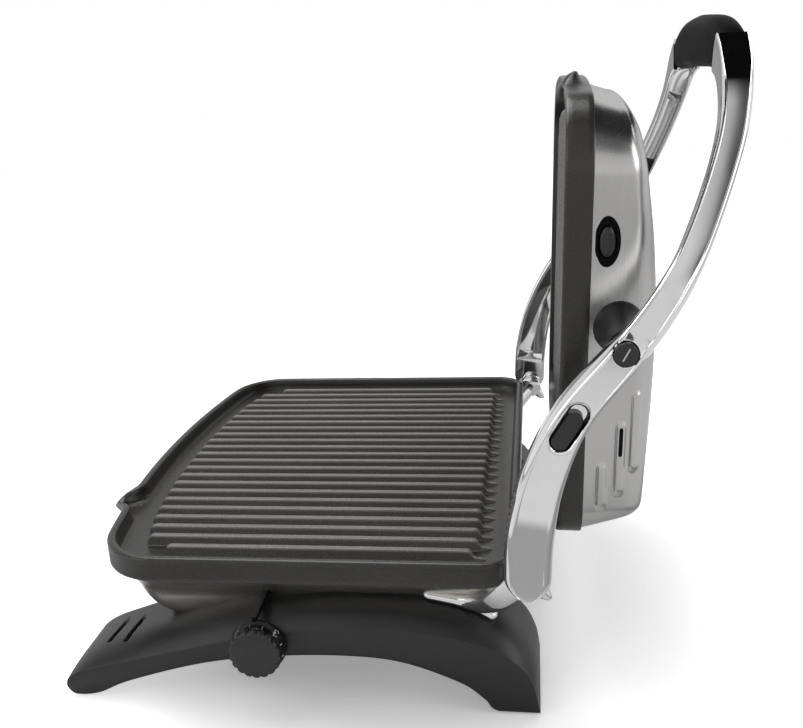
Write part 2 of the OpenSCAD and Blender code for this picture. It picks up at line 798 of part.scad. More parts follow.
module grip_screw_holes(d) {
    t = tangent(handle_line, grip_screw_station);
    out = outward(t);
    angle = atan2(out[0], out[2]);
    translate(handle_line[grip_screw_station])
        rotate([0, angle, 0])
            translate([0, 0, -20])
                cylinder(d = d, h = 20 + line_thick[grip_screw_station] / 2 - 1.5);
}
module grip() color("#1c1c1d") {
    total = len(handle_line) - 1;
    start = tangent(handle_line, joint_station);
    first = [for (p = station_rings(grip_section, joint_station, joint_station)[0])
        p + joint_gap * start];
    right = concat([first], station_rings(grip_section, joint_station + 1, total));
    difference() {
        union() {
            half_grip(right);
            mirror([1, 0, 0])
                half_grip(right);
        }
        for (side = [-1, 1])
            mirrored(side)
                grip_screw_holes(3.4);
    }
}
module half_grip(rings) {
    skin(rings);
    // Inlay that lies in the hollow of the arm
    skin(hollow_rings(inlay_knot * steps, joint_station, seat));
}
module grip_screws() color("silver") {
    t = tangent(handle_line, grip_screw_station);
    out = outward(t);
    half = line_thick[grip_screw_station] / 2;
    for (side = [-1, 1])
        mirrored(side)
            translate(handle_line[grip_screw_station])
                rotate([0, atan2(out[0], out[2]), 0])
                    translate([0, 0, -half - fit]) {
                        cylinder(d = 3, h = 2 * half - 3);
                        translate([0, 0, -1.2])
                            cylinder(d = 5.4, h = 1.2);
                    }
}
module pivot_cap(side) color("#26282a") mirrored(side) {
    translate([arm_out - cap_depth + seat, pivot_at[0], pivot_at[1]])
        rotate([0, 90, 0])
            difference() {
                cylinder(d = pivot_cap_d, h = cap_depth + 1);
                translate([-0.6, -pivot_cap_d / 2 + 1.5, cap_depth + 0.2])
                    cube([1.2, pivot_cap_d - 3, 2]);
            }
}
module pivot_cap_left() { pivot_cap(-1); }
module pivot_cap_right() { pivot_cap(1); }
bumper_knot = 7;
module lid_bumpers() color("#161616") {
    i = bumper_knot * steps;
    t = tangent(handle_line, i);
    for (side = [-1, 1])
        mirrored(side)
            skin([for (k = [i, i + 1, i + 2]) ring([[-0.3, -0.75], [0.3, -0.75], [0.3, 0.1], [-0.3, 0.1]],
                handle_line[k], tangent(handle_line, k), line_width[k] - 2 * arm_wall, line_thick[k])]);
}
slider_l = slot_l - slider_travel - 0.6;
module slot_slider() color("#2a2c2e") {
    at_slot(arm_out - arm_skin)
        translate([-(slider_travel) / 2, 0, 0]) {
            linear_extrude(arm_skin + 0.6)
                slot_shape(slider_l, slot_w - 0.6);
            translate([0, 0, -1.6 - fit])
                linear_extrude(1.6)
                    slot_shape(slider_l + 4, slot_w + 2.4);
            translate([0, 0, -fit])
                linear_extrude(2)
                    slot_shape(slider_l - 2, slot_w - 1.2);
        }
}

// ---------- lid ----------
// Height of the crown line above the open face, from the rear edge to the front edge
crown_line = [[0, -3], [40, -1.5], [81, 0], [120, 0], [157, -2.5], [190, -7], [205, -9.5], [lid_l, -15]];
function crown(along) = crown_h + lookup(along, crown_line);
// Each ring of the shell: share of the crown's height, and how far it lies inside the plate's outline at
// the sides, the rear and the front
shell_rings = [[0, 1.2, 2, 0.8], [0.27, 2.6, 5, 3.5], [0.56, 4, 9, 6.5], [0.74, 5.4, 12, 9],
    [0.87, 8, 15, 12.5],
    [0.95, 11.5, 19, 17], [0.985, 16, 24, 23]];
shell_shrink = [0.86, 0.6, 0.3];
shell_mid = [0, -lid_l / 2];
function shell_inset(normal, ring) = let(x = normal[0] * normal[0], y = normal[1] * normal[1])
    ring[1] * x + (normal[1] > 0 ? ring[2] : ring[3]) * y;
function shell_height(point, share, sheet) =
    plate_h + max(0, (crown(-point[1]) - plate_h - sheet) * share
        - (share < 0.5 ? 0 : pow(point[0] / 90, 2)));
function shell_ring(ring, sheet) = let(
    edge = plate_outline(upper_size, 0, 7),
    beyond = plate_outline(upper_size, 1, 7))
    [for (i = [0 : len(edge) - 1]) let(
        normal = beyond[i] - edge[i],
        point = edge[i] - normal * (shell_inset(normal, ring) + sheet))
        [point[0], point[1], shell_height(point, ring[0], sheet)]];
function shrunk_ring(ring, share, sheet) = [for (p = ring) let(
    point = shell_mid + ([p[0], p[1]] - shell_mid) * share)
    [point[0], point[1], shell_height(point, 1, sheet)]];
function shell_surface(sheet) = let(
    rings = [for (ring = shell_rings) reversed(shell_ring(ring, sheet))],
    top = rings[len(rings) - 1])
    concat(rings, [for (share = shell_shrink) shrunk_ring(top, share, sheet)]);
module shell_solid(sheet, drop) {
    shell = shell_surface(sheet);
    base = [for (p = shell[0]) [p[0], p[1], plate_h - drop]];
    skin(drop > 0 ? concat([base], shell) : shell);
}
// Louvres: height above the open face, and the stretch from the rear edge
louvres = [[23, 22, 54], [32, 30, 80], [39.5, 43, 89]];
louvre_w = 2.4;
module lid_housing() color("#a5a5a2") lid_place() {
    difference() {
        shell_solid(0, 0);
        shell_solid(lid_sheet, 1);
        // Louvres on both sides
        for (side = [-1, 1], louvre = louvres)
            translate([side * lid_w / 2, -(louvre[1] + louvre[2]) / 2, louvre[0]])
                rotate([0, 90, 0])
                    linear_extrude(30, center = true)
                        offset(r = louvre_w / 2)
                            square([0.02, louvre[2] - louvre[1] - louvre_w], center = true);
        // Seats of the pivot bosses and of the release button
        for (side = [-1, 1])
            translate([side * boss_in, -pivot_back, pivot_up])
                rotate([0, side * 90, 0])
                    cylinder(r = boss_r + seat, h = 40);
        button_place()
            linear_extrude(60)
                slot_shape(bezel_l + 2 * seat, bezel_w + 2 * seat);
    }
}
module upper_plate() color("#3a3937") lid_place() {
    mirror([0, 0, 1])
        cast_plate(upper_size);
}
module upper_element() color("#6f6a66") lid_place() {
    translate([0, -lid_l / 2, floor_depth + 3 + element_d / 2])
        element(upper_size);
}
module upper_reflector() color("silver") lid_place() {
    translate([0, -lid_l / 2, floor_depth + 3 + element_d + 6])
        mirror([0, 0, 1])
            reflector_tray(upper_size, 6);
}
module upper_plate_clips() color("silver") lid_place() {
    translate([0, -lid_l / 2, 0])
        mirror([0, 0, 1])
            plate_clip_pair(upper_size);
}
// A flared boss stands on the housing's side and carries the pivot pin out to the arm
boss_r = 13.5;
boss_tip_r = 6.5;
boss_in = lid_w / 2 - 17;
boss_out = arms_inner_w / 2 - 4;
boss_flare = [[0, 0], [boss_r, 0], [boss_r, 13], [boss_r - 1, 15], [boss_r - 3, 18.5], [boss_r - 5, 23],
    [boss_tip_r + 0.6, 28], [boss_tip_r, 33], [boss_tip_r, boss_out - boss_in], [0, boss_out - boss_in]];
module pivot_boss(side) color("#1b1c1d") lid_place() {
    translate([side * boss_in, -pivot_back, pivot_up])
        rotate([0, side * 90, 0])
            difference() {
                rotate_extrude()
                    polygon(boss_flare);
                translate([0, 0, 4])
                    cylinder(d = pivot_pin_d, h = 60);
            }
}
module pivot_boss_left() { pivot_boss(-1); }
module pivot_boss_right() { pivot_boss(1); }
module pivot_pin(side) color("silver") lid_place() {
    translate([side * (boss_in + 4), -pivot_back, pivot_up])
        rotate([0, side * 90, 0])
            cylinder(d = pivot_pin_d, h = arm_out - cap_depth - fit - boss_in - 4);
}
module pivot_pin_left() { pivot_pin(-1); }
module pivot_pin_right() { pivot_pin(1); }
// The release button presses into the lid's right side
bezel_l = 24;
bezel_w = 12.4;
button_along = 162.5;
button_up = 21.2;
bezel_t = 13;
button_face = lid_w / 2 - 1.6;
module button_place() {
    translate([button_face - bezel_t, -button_along, button_up])
        rotate([0, 90, 0])
            rotate([0, 0, 90])
                children();
}
module button_bezel() color("#151617") lid_place() button_place() {
    difference() {
        linear_extrude(bezel_t)
            slot_shape(bezel_l, bezel_w);
        translate([0, 0, 3])
            linear_extrude(30)
                slot_shape(button_l + 2 * fit, button_w + 2 * fit);
    }
}
module release_button() color("#202123") lid_place() button_place() {
    translate([0, 0, 3 + button_travel + 0.5])
        linear_extrude(bezel_t - 6)
            slot_shape(button_l, button_w);
    for (i = [-2 : 2])
        translate([i * 2, 0, bezel_t - 3 + button_travel])
            linear_extrude(1)
                square([0.9, button_w - 3], center = true);
}
module thermal_fuse() color("white") lid_place() {
    translate([0, -lid_l / 2, floor_depth + 3])
        cylinder(d = 14, h = 5.5);
}

// ---------- dial ----------
dial_gap = 0.4;
shaft_reach = leg_out + dial_gap - thermostat_x - shaft_socket - fit;
module dial_axis() {
    translate([leg_out + dial_gap, -dial_front, dial_z])
        rotate([0, 90, 0])
            children();
}
module dial_knob() color("#202022") dial_axis() {
    difference() {
        union() {
            cylinder(r1 = dial_d / 2 + 1.5, r2 = dial_d / 2 - 0.5, h = 4);
            cylinder(d = dial_d - 1.4, h = dial_t);
            translate([0, 0, 4])
                linear_extrude(dial_t - 5)
                    difference() {
                        circle(d = dial_d);
                        for (i = [0 : dial_flutes - 1])
                            rotate(360 * i / dial_flutes)
                                translate([dial_d / 2 + 1.2, 0])
                                    circle(r = 2, $fn = 24);
                    }
        }
        translate([0, 0, -cut])
            cylinder(d = shaft_d, h = dial_t - 2 + cut);
    }
}
module dial_shaft() color("silver") dial_axis() {
    translate([0, 0, -shaft_reach])
        cylinder(d = shaft_d, h = shaft_reach + dial_t - 2);
}

base_stand();
bottom_cover();
leg_cover_left();
leg_cover_right();
rubber_feet();
cover_screws();
lower_housing();
lower_plate();
lower_element();
lower_reflector();
lower_plate_clips();
thermostat();
terminal_block();
cord_gland();
dial_pointer();
hinge_bracket_left();
hinge_bracket_right();
bracket_screws();
hinge_pin_left();
hinge_pin_right();
hinge_bush_left();
hinge_bush_right();
arm_left();
arm_right();
grip();
grip_screws();
pivot_cap_left();
pivot_cap_right();
lid_bumpers();
slot_slider();
lid_housing();
upper_plate();
upper_element();
upper_reflector();
upper_plate_clips();
pivot_boss_left();
pivot_boss_right();
pivot_pin_left();
pivot_pin_right();
button_bezel();
thermal_fuse();
release_button();
dial_knob();
dial_shaft();
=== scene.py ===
import json

import bmesh
import bpy
import numpy as np
from mathutils import Matrix, Vector


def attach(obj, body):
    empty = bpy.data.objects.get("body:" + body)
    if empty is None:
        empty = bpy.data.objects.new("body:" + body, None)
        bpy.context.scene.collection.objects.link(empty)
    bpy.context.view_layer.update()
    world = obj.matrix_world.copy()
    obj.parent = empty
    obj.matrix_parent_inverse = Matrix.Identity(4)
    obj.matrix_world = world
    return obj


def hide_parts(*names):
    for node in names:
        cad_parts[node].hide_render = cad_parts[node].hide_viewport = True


# %% [markdown]
# # An electric indoor grill, dressed for its picture
# The CAD frame already holds every piece at its true size and place. This lesson keeps that
# frame, gives each piece the finish of the real one, and lays smoother surfaces over the
# pieces whose curves a CAD solid only holds in facets.

# %% Load the frame
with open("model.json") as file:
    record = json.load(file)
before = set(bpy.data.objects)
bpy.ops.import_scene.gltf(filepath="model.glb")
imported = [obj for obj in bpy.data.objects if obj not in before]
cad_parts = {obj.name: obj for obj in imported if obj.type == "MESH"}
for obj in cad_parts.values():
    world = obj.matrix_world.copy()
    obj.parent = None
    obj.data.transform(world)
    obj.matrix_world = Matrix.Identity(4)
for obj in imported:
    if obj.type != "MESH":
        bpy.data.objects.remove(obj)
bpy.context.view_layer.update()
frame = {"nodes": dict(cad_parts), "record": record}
nodes = frame["nodes"]

# %% [markdown]
# ## The camera
# A long lens looks from the right side, slightly from the rear and from above. The camera's
# own axes are written as three directions: to the right, down, and forward. Three turning
# angles would do as well, but directions are easier to check against the grill.

# %% Place the camera
LENS_MM, SENSOR_MM = 42.59, 36
camera_place = Vector((0.5876, 0.0792, 0.3394))
camera_right = Vector((-0.1303, 0.9901, -0.0518))
camera_down = Vector((0.3035, -0.0099, -0.9528))
camera_forward = Vector((-0.9439, -0.1399, -0.2992))
turn = Matrix((camera_right, -camera_down, -camera_forward)).transposed()
camera = bpy.data.objects.new("camera", bpy.data.cameras.new("camera"))
camera.data.lens = LENS_MM
camera.data.sensor_width = SENSOR_MM
camera.data.sensor_fit = "HORIZONTAL"
camera.data.clip_start = 0.01
camera.matrix_world = Matrix.Translation(camera_place) @ turn.to_4x4()
bpy.context.scene.collection.objects.link(camera)
bpy.context.scene.camera = camera
bpy.context.scene.view_settings.view_transform = "Standard"
print("camera at", tuple(round(v, 3) for v in camera_place), "lens", LENS_MM, "mm")

# %% [markdown]
# ## Shader maths as Python
# A material is a graph of nodes. Wrapping an output socket in a class with the operators
# overloaded lets a formula such as `1 - mask * 0.5` build its own Math nodes.

# %% A socket that can be calculated with
class Socket:
    """One output of a shader node; arithmetic on it adds the Math node that does it."""

    def __init__(self, shader, output):
        self.shader, self.output = shader, output

    def maths(self, operation, *values):
        """Adds one Math node with this operation and these values or links."""
        return self.shader.node("ShaderNodeMath", {"operation": operation}, dict(enumerate(values)))

    def __add__(self, other):
        return self.maths("ADD", self, other)

    def __sub__(self, other):
        return self.maths("SUBTRACT", self, other)

    def __rsub__(self, other):
        return self.maths("SUBTRACT", other, self)

    def __mul__(self, other):
        return self.maths("MULTIPLY", self, other)

    __radd__ = __add__
    __rmul__ = __mul__


# %% A material or world that makes its nodes in one way
class Shader:
    """A material, or the given world, whose nodes are made through one method."""

    def __init__(self, name, world=None):
        self.material = world or bpy.data.materials.new(name)
        self.material.use_nodes = True
        self.tree = self.material.node_tree
        self.tree.nodes.clear()

    def node(self, kind, settings=None, sockets=None, output=0):
        """Adds a node: its settings first, then the values or links of its sockets."""
        made = self.tree.nodes.new(kind)
        settings = dict(settings or {})
        stops = settings.pop("stops", None)
        for key, value in settings.items():
            setattr(made, key, value)
        if stops:
            ramp = made.color_ramp.elements
            while len(ramp) < len(stops):
                ramp.new(0.5)
            for element, (position, level) in zip(ramp, stops):
                element.position = position
                element.color = (level, level, level, 1)
        for key, value in (sockets or {}).items():
            if isinstance(value, Socket):
                self.tree.links.new(value.output, made.inputs[key])
            else:
                made.inputs[key].default_value = value
        return Socket(self, made.outputs[output]) if made.outputs else None

    def place(self, stretch=(1, 1, 1)):
        """Object coordinates in metres, stretched so that a pattern can have a direction."""
        coordinates = self.node("ShaderNodeTexCoord", output="Object")
        return self.node("ShaderNodeMapping", sockets={"Vector": coordinates, "Scale": stretch})

    def grain(self, scale, detail=2.0, stretch=(1, 1, 1), rough=0.5):
        """A cloudy pattern between 0 and 1, with scale patches to a metre."""
        return self.node("ShaderNodeTexNoise", sockets={
            "Vector": self.place(stretch), "Scale": scale, "Detail": detail, "Roughness": rough})

    def steps(self, value, *stops):
        """Bends a value between 0 and 1 through the given pairs of position and grey."""
        return self.node("ShaderNodeValToRGB", {"stops": stops}, {"Fac": value})

    def blend(self, mask, low, high):
        """The colour low where the mask is 0 and high where it is 1."""
        return self.node(
            "ShaderNodeMix", {"data_type": "RGBA"}, {0: mask, 6: low, 7: high}, output=2)

    def finish(self, height=None, depth=0.0002, **values):
        """Closes the material: a Principled surface, with a bump where a height is given."""
        sockets = {key.replace("_", " "): value for key, value in values.items()}
        if height is not None:
            sockets["Normal"] = self.node(
                "ShaderNodeBump", sockets={"Distance": depth, "Height": height})
        surface = self.node("ShaderNodeBsdfPrincipled", sockets=sockets)
        self.node("ShaderNodeOutputMaterial", sockets={"Surface": surface})
        return self.material


def grey(value, warmth=0.0):
    """A neutral colour, a little warmer or cooler than grey."""
    return (value * (1 + warmth), value, value * (1 - warmth), 1)


# %% [markdown]
# ## The moulded plastics
# The base, the grip and the knobs are black plastic. Its mould is spark-eroded, and the fine
# grain that this leaves breaks up the shine. A picture of grain would need unwrapping and
# would show its seams, so noise in the piece's own coordinates does it.

# %% Moulded plastics
def moulded(name, colour, shine, grain_size=0.0009, depth=0.00006, spread=0.1, gleam=0.5):
    """Plastic with a spark-eroded grain: grain_size is the width of one grain in metres."""
    shader = Shader(name)
    fine = shader.grain(1 / grain_size, detail=3)
    cloud = shader.grain(28, detail=2)
    tone = shader.blend(cloud, grey(colour * 0.86), grey(colour * 1.14))
    return shader.finish(
        height=fine, depth=depth, Base_Color=tone, Specular_IOR_Level=gleam,
        Roughness=shine + (fine + cloud - 1) * spread)


base_plastic = moulded("charcoal_plastic", 0.013, 0.40, depth=0.00013)
grip_plastic = moulded("black_grip_plastic", 0.008, 0.42, gleam=0.01)
dial_plastic = moulded("dial_plastic", 0.016, 0.36)
gloss_black = moulded("gloss_black_plastic", 0.006, 0.18, depth=0.00001)
rubber = moulded("foot_rubber", 0.018, 0.80, depth=0.00012)
ceramic = moulded("white_ceramic", 0.72, 0.35)
print("plastics:", [finish.name for finish in (base_plastic, grip_plastic, dial_plastic,
                                               gloss_black, rubber, ceramic)])

# %% [markdown]
# ## The metals
# The lid is brushed steel, the arms are chromed, and the bowl is softly polished. Brushing is
# noise stretched along one axis: it roughens the shine and lifts the surface by microns.
# Chrome is a mirror with hardly any haze, so it needs bright and dark things around it more
# than it needs noise.


# %% Metals
def metal(name, colour, shine, scratch=None, depth=0.000004, spread=0.05, warmth=0.0, fineness=900):
    """Bare metal; scratch stretches the grain into lines along one axis, and fineness is the
    number of grains to a metre across them."""
    shader = Shader(name)
    lines = shader.grain(fineness, detail=4, stretch=scratch or (1, 1, 1), rough=0.7)
    cloud = shader.grain(14, detail=2)
    tone = shader.blend(lines, grey(colour * 0.93, warmth), grey(min(colour * 1.05, 1), warmth))
    return shader.finish(
        height=lines if depth else None, depth=depth, Base_Color=tone, Metallic=1.0,
        Roughness=shine + (lines - 0.5) * spread + (cloud - 0.5) * spread)


chrome = metal("polished_chrome", 0.76, 0.05, spread=0.02, depth=0, fineness=40)
stainless = metal("brushed_stainless", 0.50, 0.27, scratch=(1, 1, 0.03), spread=0.06,
                  depth=0.000004, warmth=0.012)
polished_steel = metal("polished_steel", 0.66, 0.33, spread=0.03, depth=0, warmth=0.05, fineness=25)
plain_steel = metal("plain_steel", 0.55, 0.30)
tray_metal = metal("aluminium_tray", 0.76, 0.32, scratch=(0.05, 1, 1))
bronze = metal("sintered_bronze", 0.45, 0.45, warmth=0.25)
print("metals:", [finish.name for finish in (chrome, stainless, polished_steel, plain_steel,
                                             tray_metal, bronze)])

# %% [markdown]
# ## The non-stick coat
# The plates are cast and then sprayed. The coat dries to an orange peel with light flecks in
# it. Both are noise: one for the bump, and a finer one cut off high up for the flecks.


# %% Cast plates
def coated(name, colour, shine, warmth):
    """Cast metal under a sprayed non-stick coat: light flecks on a dark ground."""
    shader = Shader(name)
    orange_peel = shader.grain(1100, detail=3, rough=0.6)
    fleck = shader.steps(shader.grain(2600, detail=1), (0.56, 0.0), (0.72, 1.0))
    cloud = shader.grain(20, detail=2)
    ground = shader.blend(cloud, grey(colour * 0.8, warmth), grey(colour * 1.2, warmth))
    tone = shader.blend(fleck, ground, grey(colour * 2.6, warmth))
    return shader.finish(
        height=orange_peel + fleck * 0.2, depth=0.00009, Base_Color=tone,
        Roughness=shine + (orange_peel - 0.5) * 0.2)


non_stick = coated("non_stick_coat", 0.13, 0.29, 0.04)
plate_rim = coated("plate_rim_coat", 0.021, 0.30, 0.09)
print("coats:", non_stick.name, plate_rim.name)

# %% [markdown]
# ## Every carried-over piece gets its finish
# The record names a material slot for each node, so one table from slot to finish covers the
# whole frame.

# %% Hand the finishes out
finish_of_slot = {
    "base_plastic": base_plastic, "rubber": rubber, "grip_plastic": grip_plastic,
    "stainless": stainless, "nonstick": non_stick, "chrome": chrome, "steel": plain_steel,
    "tray": tray_metal, "bronze": bronze, "white_plastic": ceramic}
slot_of_node = {row["node"]: row["material_slot"] for row in frame["record"]["subparts"]}


def wear(piece, finish):
    """Puts one finish on a whole piece."""
    piece.data.materials.clear()
    piece.data.materials.append(finish)


for node, piece in nodes.items():
    wear(piece, finish_of_slot[slot_of_node[node]])
print("finishes handed out:", len(bpy.data.materials))

# %% [markdown]
# ## Surfaces from formulas
# Each smooth piece is one or more stacks of rings: an array shaped (rings, points, 3), in
# millimetres. Four-sided faces join neighbouring rings, and a flat face closes each end. Such
# forms could be sculpted by hand, but a formula keeps every size exact and easy to change.

# %% From stacks of rings to a piece
MM = 0.001


def quads(rings, around):
    """Corner numbers of the faces between neighbouring rings of equally many points."""
    ring, spot = np.meshgrid(np.arange(rings - 1), np.arange(around), indexing="ij")
    beside = (spot + 1) % around
    corners = [ring * around + spot, ring * around + beside,
               (ring + 1) * around + beside, (ring + 1) * around + spot]
    return np.stack(corners, -1).reshape(-1, 4)


def build(name, stacks, body, finish, stands_for=(), crease=40):
    """Makes one piece from stacks of rings; it rides on a body in place of CAD nodes."""
    points, faces, first = [], [], 0
    for stack in stacks:
        rings, around = stack.shape[:2]
        end = np.arange(around) + first
        points.append(stack.reshape(-1, 3))
        faces += (quads(rings, around) + first).tolist()
        faces += [end[::-1].tolist(), (end + (rings - 1) * around).tolist()]
        first += rings * around
    mesh = bpy.data.meshes.new(name)
    mesh.from_pydata((np.concatenate(points) * MM).tolist(), [], faces)
    work = bmesh.new()
    work.from_mesh(mesh)
    bmesh.ops.recalc_face_normals(work, faces=work.faces)
    work.to_mesh(mesh)
    work.free()
    mesh.shade_smooth()
    mesh.set_sharp_from_angle(angle=np.radians(crease))
    piece = bpy.data.objects.new(name, mesh)
    bpy.context.scene.collection.objects.link(piece)
    wear(piece, finish)
    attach(piece, body)
    if stands_for:
        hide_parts(*stands_for)
    print(name, "points:", first)
    return piece


def both_sides(*stacks):
    """The given stacks of the right side, and the same ones mirrored to the left."""
    return [stack * (side, 1, 1) for side in (1, -1) for stack in stacks]


# %% Curves through knots
def along(knots, where):
    """Smooth curve through all knots, read at fractional knot numbers.

    Between two knots the curve is a cubic whose slope at each knot is half the step from
    the knot before it to the knot after it."""
    knots = np.asarray(knots, float)
    last = len(knots) - 1
    start = np.clip(np.floor(where).astype(int), 0, last - 1)
    t = (where - start)[:, None]
    a, b, c, d = (knots[np.clip(start + step, 0, last)] for step in (-1, 0, 1, 2))
    return 0.5 * (2 * b + (c - a) * t + (2 * a - 5 * b + 4 * c - d) * t ** 2
                  + (3 * b - a - 3 * c + d) * t ** 3)


def curve(knots, steps):
    """The whole smooth curve, with the given number of steps from knot to knot."""
    last = len(knots) - 1
    return along(knots, np.linspace(0, last, last * steps + 1))


print("a curve through three knots:", curve([(0, 0), (1, 1), (2, 0)], 2).tolist())


# %% Soft masks
def smooth(t):
    """0 below 0 and 1 above 1, with level ends between: three squares less two cubes."""
    t = np.clip(t, 0, 1)
    return t * t * (3 - 2 * t)


def pill(lengthwise, across, length, width, edge):
    """1 inside a pill shape, 0 outside it, softly changing over a strip twice edge wide.

    The distance from the pill's middle line is compared with half its width."""
    gap = np.hypot(np.maximum(np.abs(lengthwise) - (length - width) / 2, 0), across)
    return 1 - smooth((gap - width / 2 + edge) / (2 * edge))


print("from a pill's middle outwards:", pill(np.linspace(0, 2, 5), 0, 3, 1, 0.4).round(2))


# %% Turned and swept pieces
def rounded(points, power=0.6):
    """A ring of unit size between a circle (power 1) and a square (power 0).

    The cosine and the sine of the angle are each raised to the power, and keep their sign."""
    angle = np.linspace(0, 2 * np.pi, points, endpoint=False) + np.pi / points
    c, s = np.cos(angle), np.sin(angle)
    return np.sign(c) * np.abs(c) ** power, np.sign(s) * np.abs(s) ** power


def lathe(profile, centre, around=64):
    """Rings about an axis along X: each row of the profile is a radius and a reach.

    A point lies the reach along X, and the radius times cosine and sine in Y and Z."""
    radius, reach = np.asarray(profile, float).T[..., None]
    angle = np.linspace(0, 2 * np.pi, around, endpoint=False)
    return np.stack([centre[0] + reach + 0 * angle, centre[1] + radius * np.cos(angle),
                     centre[2] + radius * np.sin(angle)], -1)


def sweep(line, width, thick, flat, power=0.6, points=24):
    """Carries a rounded section along a line; width lies along the direction flat.

    The section's other direction is square to both the line and flat."""
    line = np.asarray(line, float)
    ahead = np.gradient(line, axis=0)
    ahead /= np.linalg.norm(ahead, axis=1, keepdims=True)
    up = np.cross(ahead, flat)
    up /= np.linalg.norm(up, axis=1, keepdims=True)
    across = np.cross(up, ahead)
    u, v = (0.5 * share[:, None] for share in rounded(points, power))
    width, thick = (np.asarray(size, float)[:, None, None] for size in (width, thick))
    return line[:, None] + across[:, None] * u * width + up[:, None] * v * thick


# %% [markdown]
# ## The cast plates
# The food lies between two heavy castings. Both share one outline: a bowed front edge, two
# wide front corners and two tighter rear ones. The rim's profile is carried round it and
# swells into a spout, where the fat is poured off. A curve with a bevel object could carry the
# profile too, but not make it swell.

# %% The outline of a plate
LOWER, UPPER = (308, 245), (250, 238)  # width and depth
FRONT_R, FRONT_CORNER, REAR_CORNER = 700, 38, 20  # radii
PLATE_H, PLATE_REAR, RIM_Z = 14, 69, 93


def outline(size, fine=24, sides=24):
    """Points and outward directions of a plate's edge, its rear edge on y = 0.

    Five circular arcs are joined by straight lines wherever two of them do not touch."""
    x = size[0] / 2 - FRONT_CORNER
    reach = FRONT_R - FRONT_CORNER
    bow, middle = np.degrees(np.arcsin(x / reach)), FRONT_R - size[1]
    front = middle - np.sqrt(reach ** 2 - x ** 2)
    rear = size[0] / 2 - REAR_CORNER
    arcs = [(0, middle, FRONT_R, 270 - bow, 270 + bow, 6 * fine),
            (x, front, FRONT_CORNER, 270 + bow, 360, fine),
            (rear, -REAR_CORNER, REAR_CORNER, 0, 90, fine),
            (-rear, -REAR_CORNER, REAR_CORNER, 90, 180, fine),
            (-x, front, FRONT_CORNER, 180, 270 - bow, fine)]
    points, normals = [], []
    for cx, cy, radius, start, end, steps in arcs:
        angle = np.radians(np.linspace(start, end, steps + 1))
        normal = np.stack([np.cos(angle), np.sin(angle)], 1)
        edge = np.array([cx, cy]) + radius * normal
        if points:
            share = np.linspace(0, 1, sides + 1)[1:-1, None]
            points.append(points[-1][-1] * (1 - share) + edge[0] * share)
            normals.append(normal[:1] + 0 * share)
        points.append(edge)
        normals.append(normal)
    points, normals = np.concatenate(points), np.concatenate(normals)
    apart = np.linalg.norm(points - np.roll(points, 1, axis=0), axis=1) > 0.02
    return points[apart], normals[apart]


print("points round the lower plate:", len(outline(LOWER)[0]))


# %% The rim and its spout
SPOUT_W = 44
# Each row: how far outside the outline, height, share of the spout's swelling, notch depth
RIM = np.array([
    (-4.0, -14.0, 0, 0), (-1.2, -14.0, 0, 0), (-0.4, -13.7, 0, 0), (0, -12.9, 0.02, 0),
    (0, -10.5, 0.12, 0), (0, -8.5, 0.45, 0.2), (0, -6.0, 0.85, 1.6), (0, -4.0, 0.97, 2.8),
    (0, -1.6, 1, 4.2), (-0.35, -0.55, 1, 4.7), (-1.2, 0, 1, 4.9), (-3.6, 0, 1, 5.4),
    (-4.6, -0.5, 1, 5.3), (-5.0, -1.6, 1, 4.7), (-5.3, -4.5, 0.95, 2.6), (-5.6, -7.0, 0.85, 0.9),
    (-6.6, -8.5, 0.6, 0), (-8.6, -9.0, 0.3, 0)])


def plate_body(size, spout_x, spout_out):
    """The rim's profile carried round the outline; a cosine swells it into the spout."""
    edge, normal = outline(size)
    from_spout = np.clip((edge[:, 0] - spout_x) / (SPOUT_W / 2), -1, 1)
    swell = (0.5 + 0.5 * np.cos(np.pi * from_spout)) ** 1.8 * (edge[:, 1] < -size[1] / 2)
    out, height, share, dip = RIM.T[..., None]
    rings = np.zeros((len(RIM), len(edge), 3))
    rings[..., :2] = edge + normal * out[..., None]
    rings[..., 1] -= swell * share * spout_out
    rings[..., 2] = height - swell ** 2 * dip
    return rings


# %% [markdown]
# ## The ribs
# Twenty-three ribs stand on the lower plate and nineteen on the upper one. An array modifier
# would repeat one rib, but each has its own length behind the bowed front edge, and the last
# ones are shorter, so every rib is a stack of its own.

# %% The ribs
RIB_PITCH, RIB_H, FLOOR = 12, 6, -9
RIB_SIDE, RIB_FRONT_GAP, RIB_REAR_GAP, LAST_RIB_SHORTER = 5, 20, 19, 10
CORNER_PULL, PULL_WIDTH = 6, 132
# Half a section: distance from the middle and share of the height
RIB_SECTION = np.array([
    (3.3, -0.05), (2.8, 0.05), (2.5, 0.22), (2.25, 0.8), (2.05, 0.96), (1.75, 1.0), (0.8, 0.97)])
# Ends: distance along the rib, share of the height, share of the width
RIB_FRONT = np.array([(-1.0, 0.0, 0.4), (-0.4, 0.5, 0.75), (0.8, 0.86, 0.92), (3, 1, 1)])
RIB_REAR = np.array([
    (-6, 1, 1), (-4.4, 0.97, 1), (-3.2, 0.8, 0.95), (-2.2, 0.42, 0.85), (-1, 0.26, 0.7),
    (2, 0.2, 0.55), (5, 0.02, 0.1)])


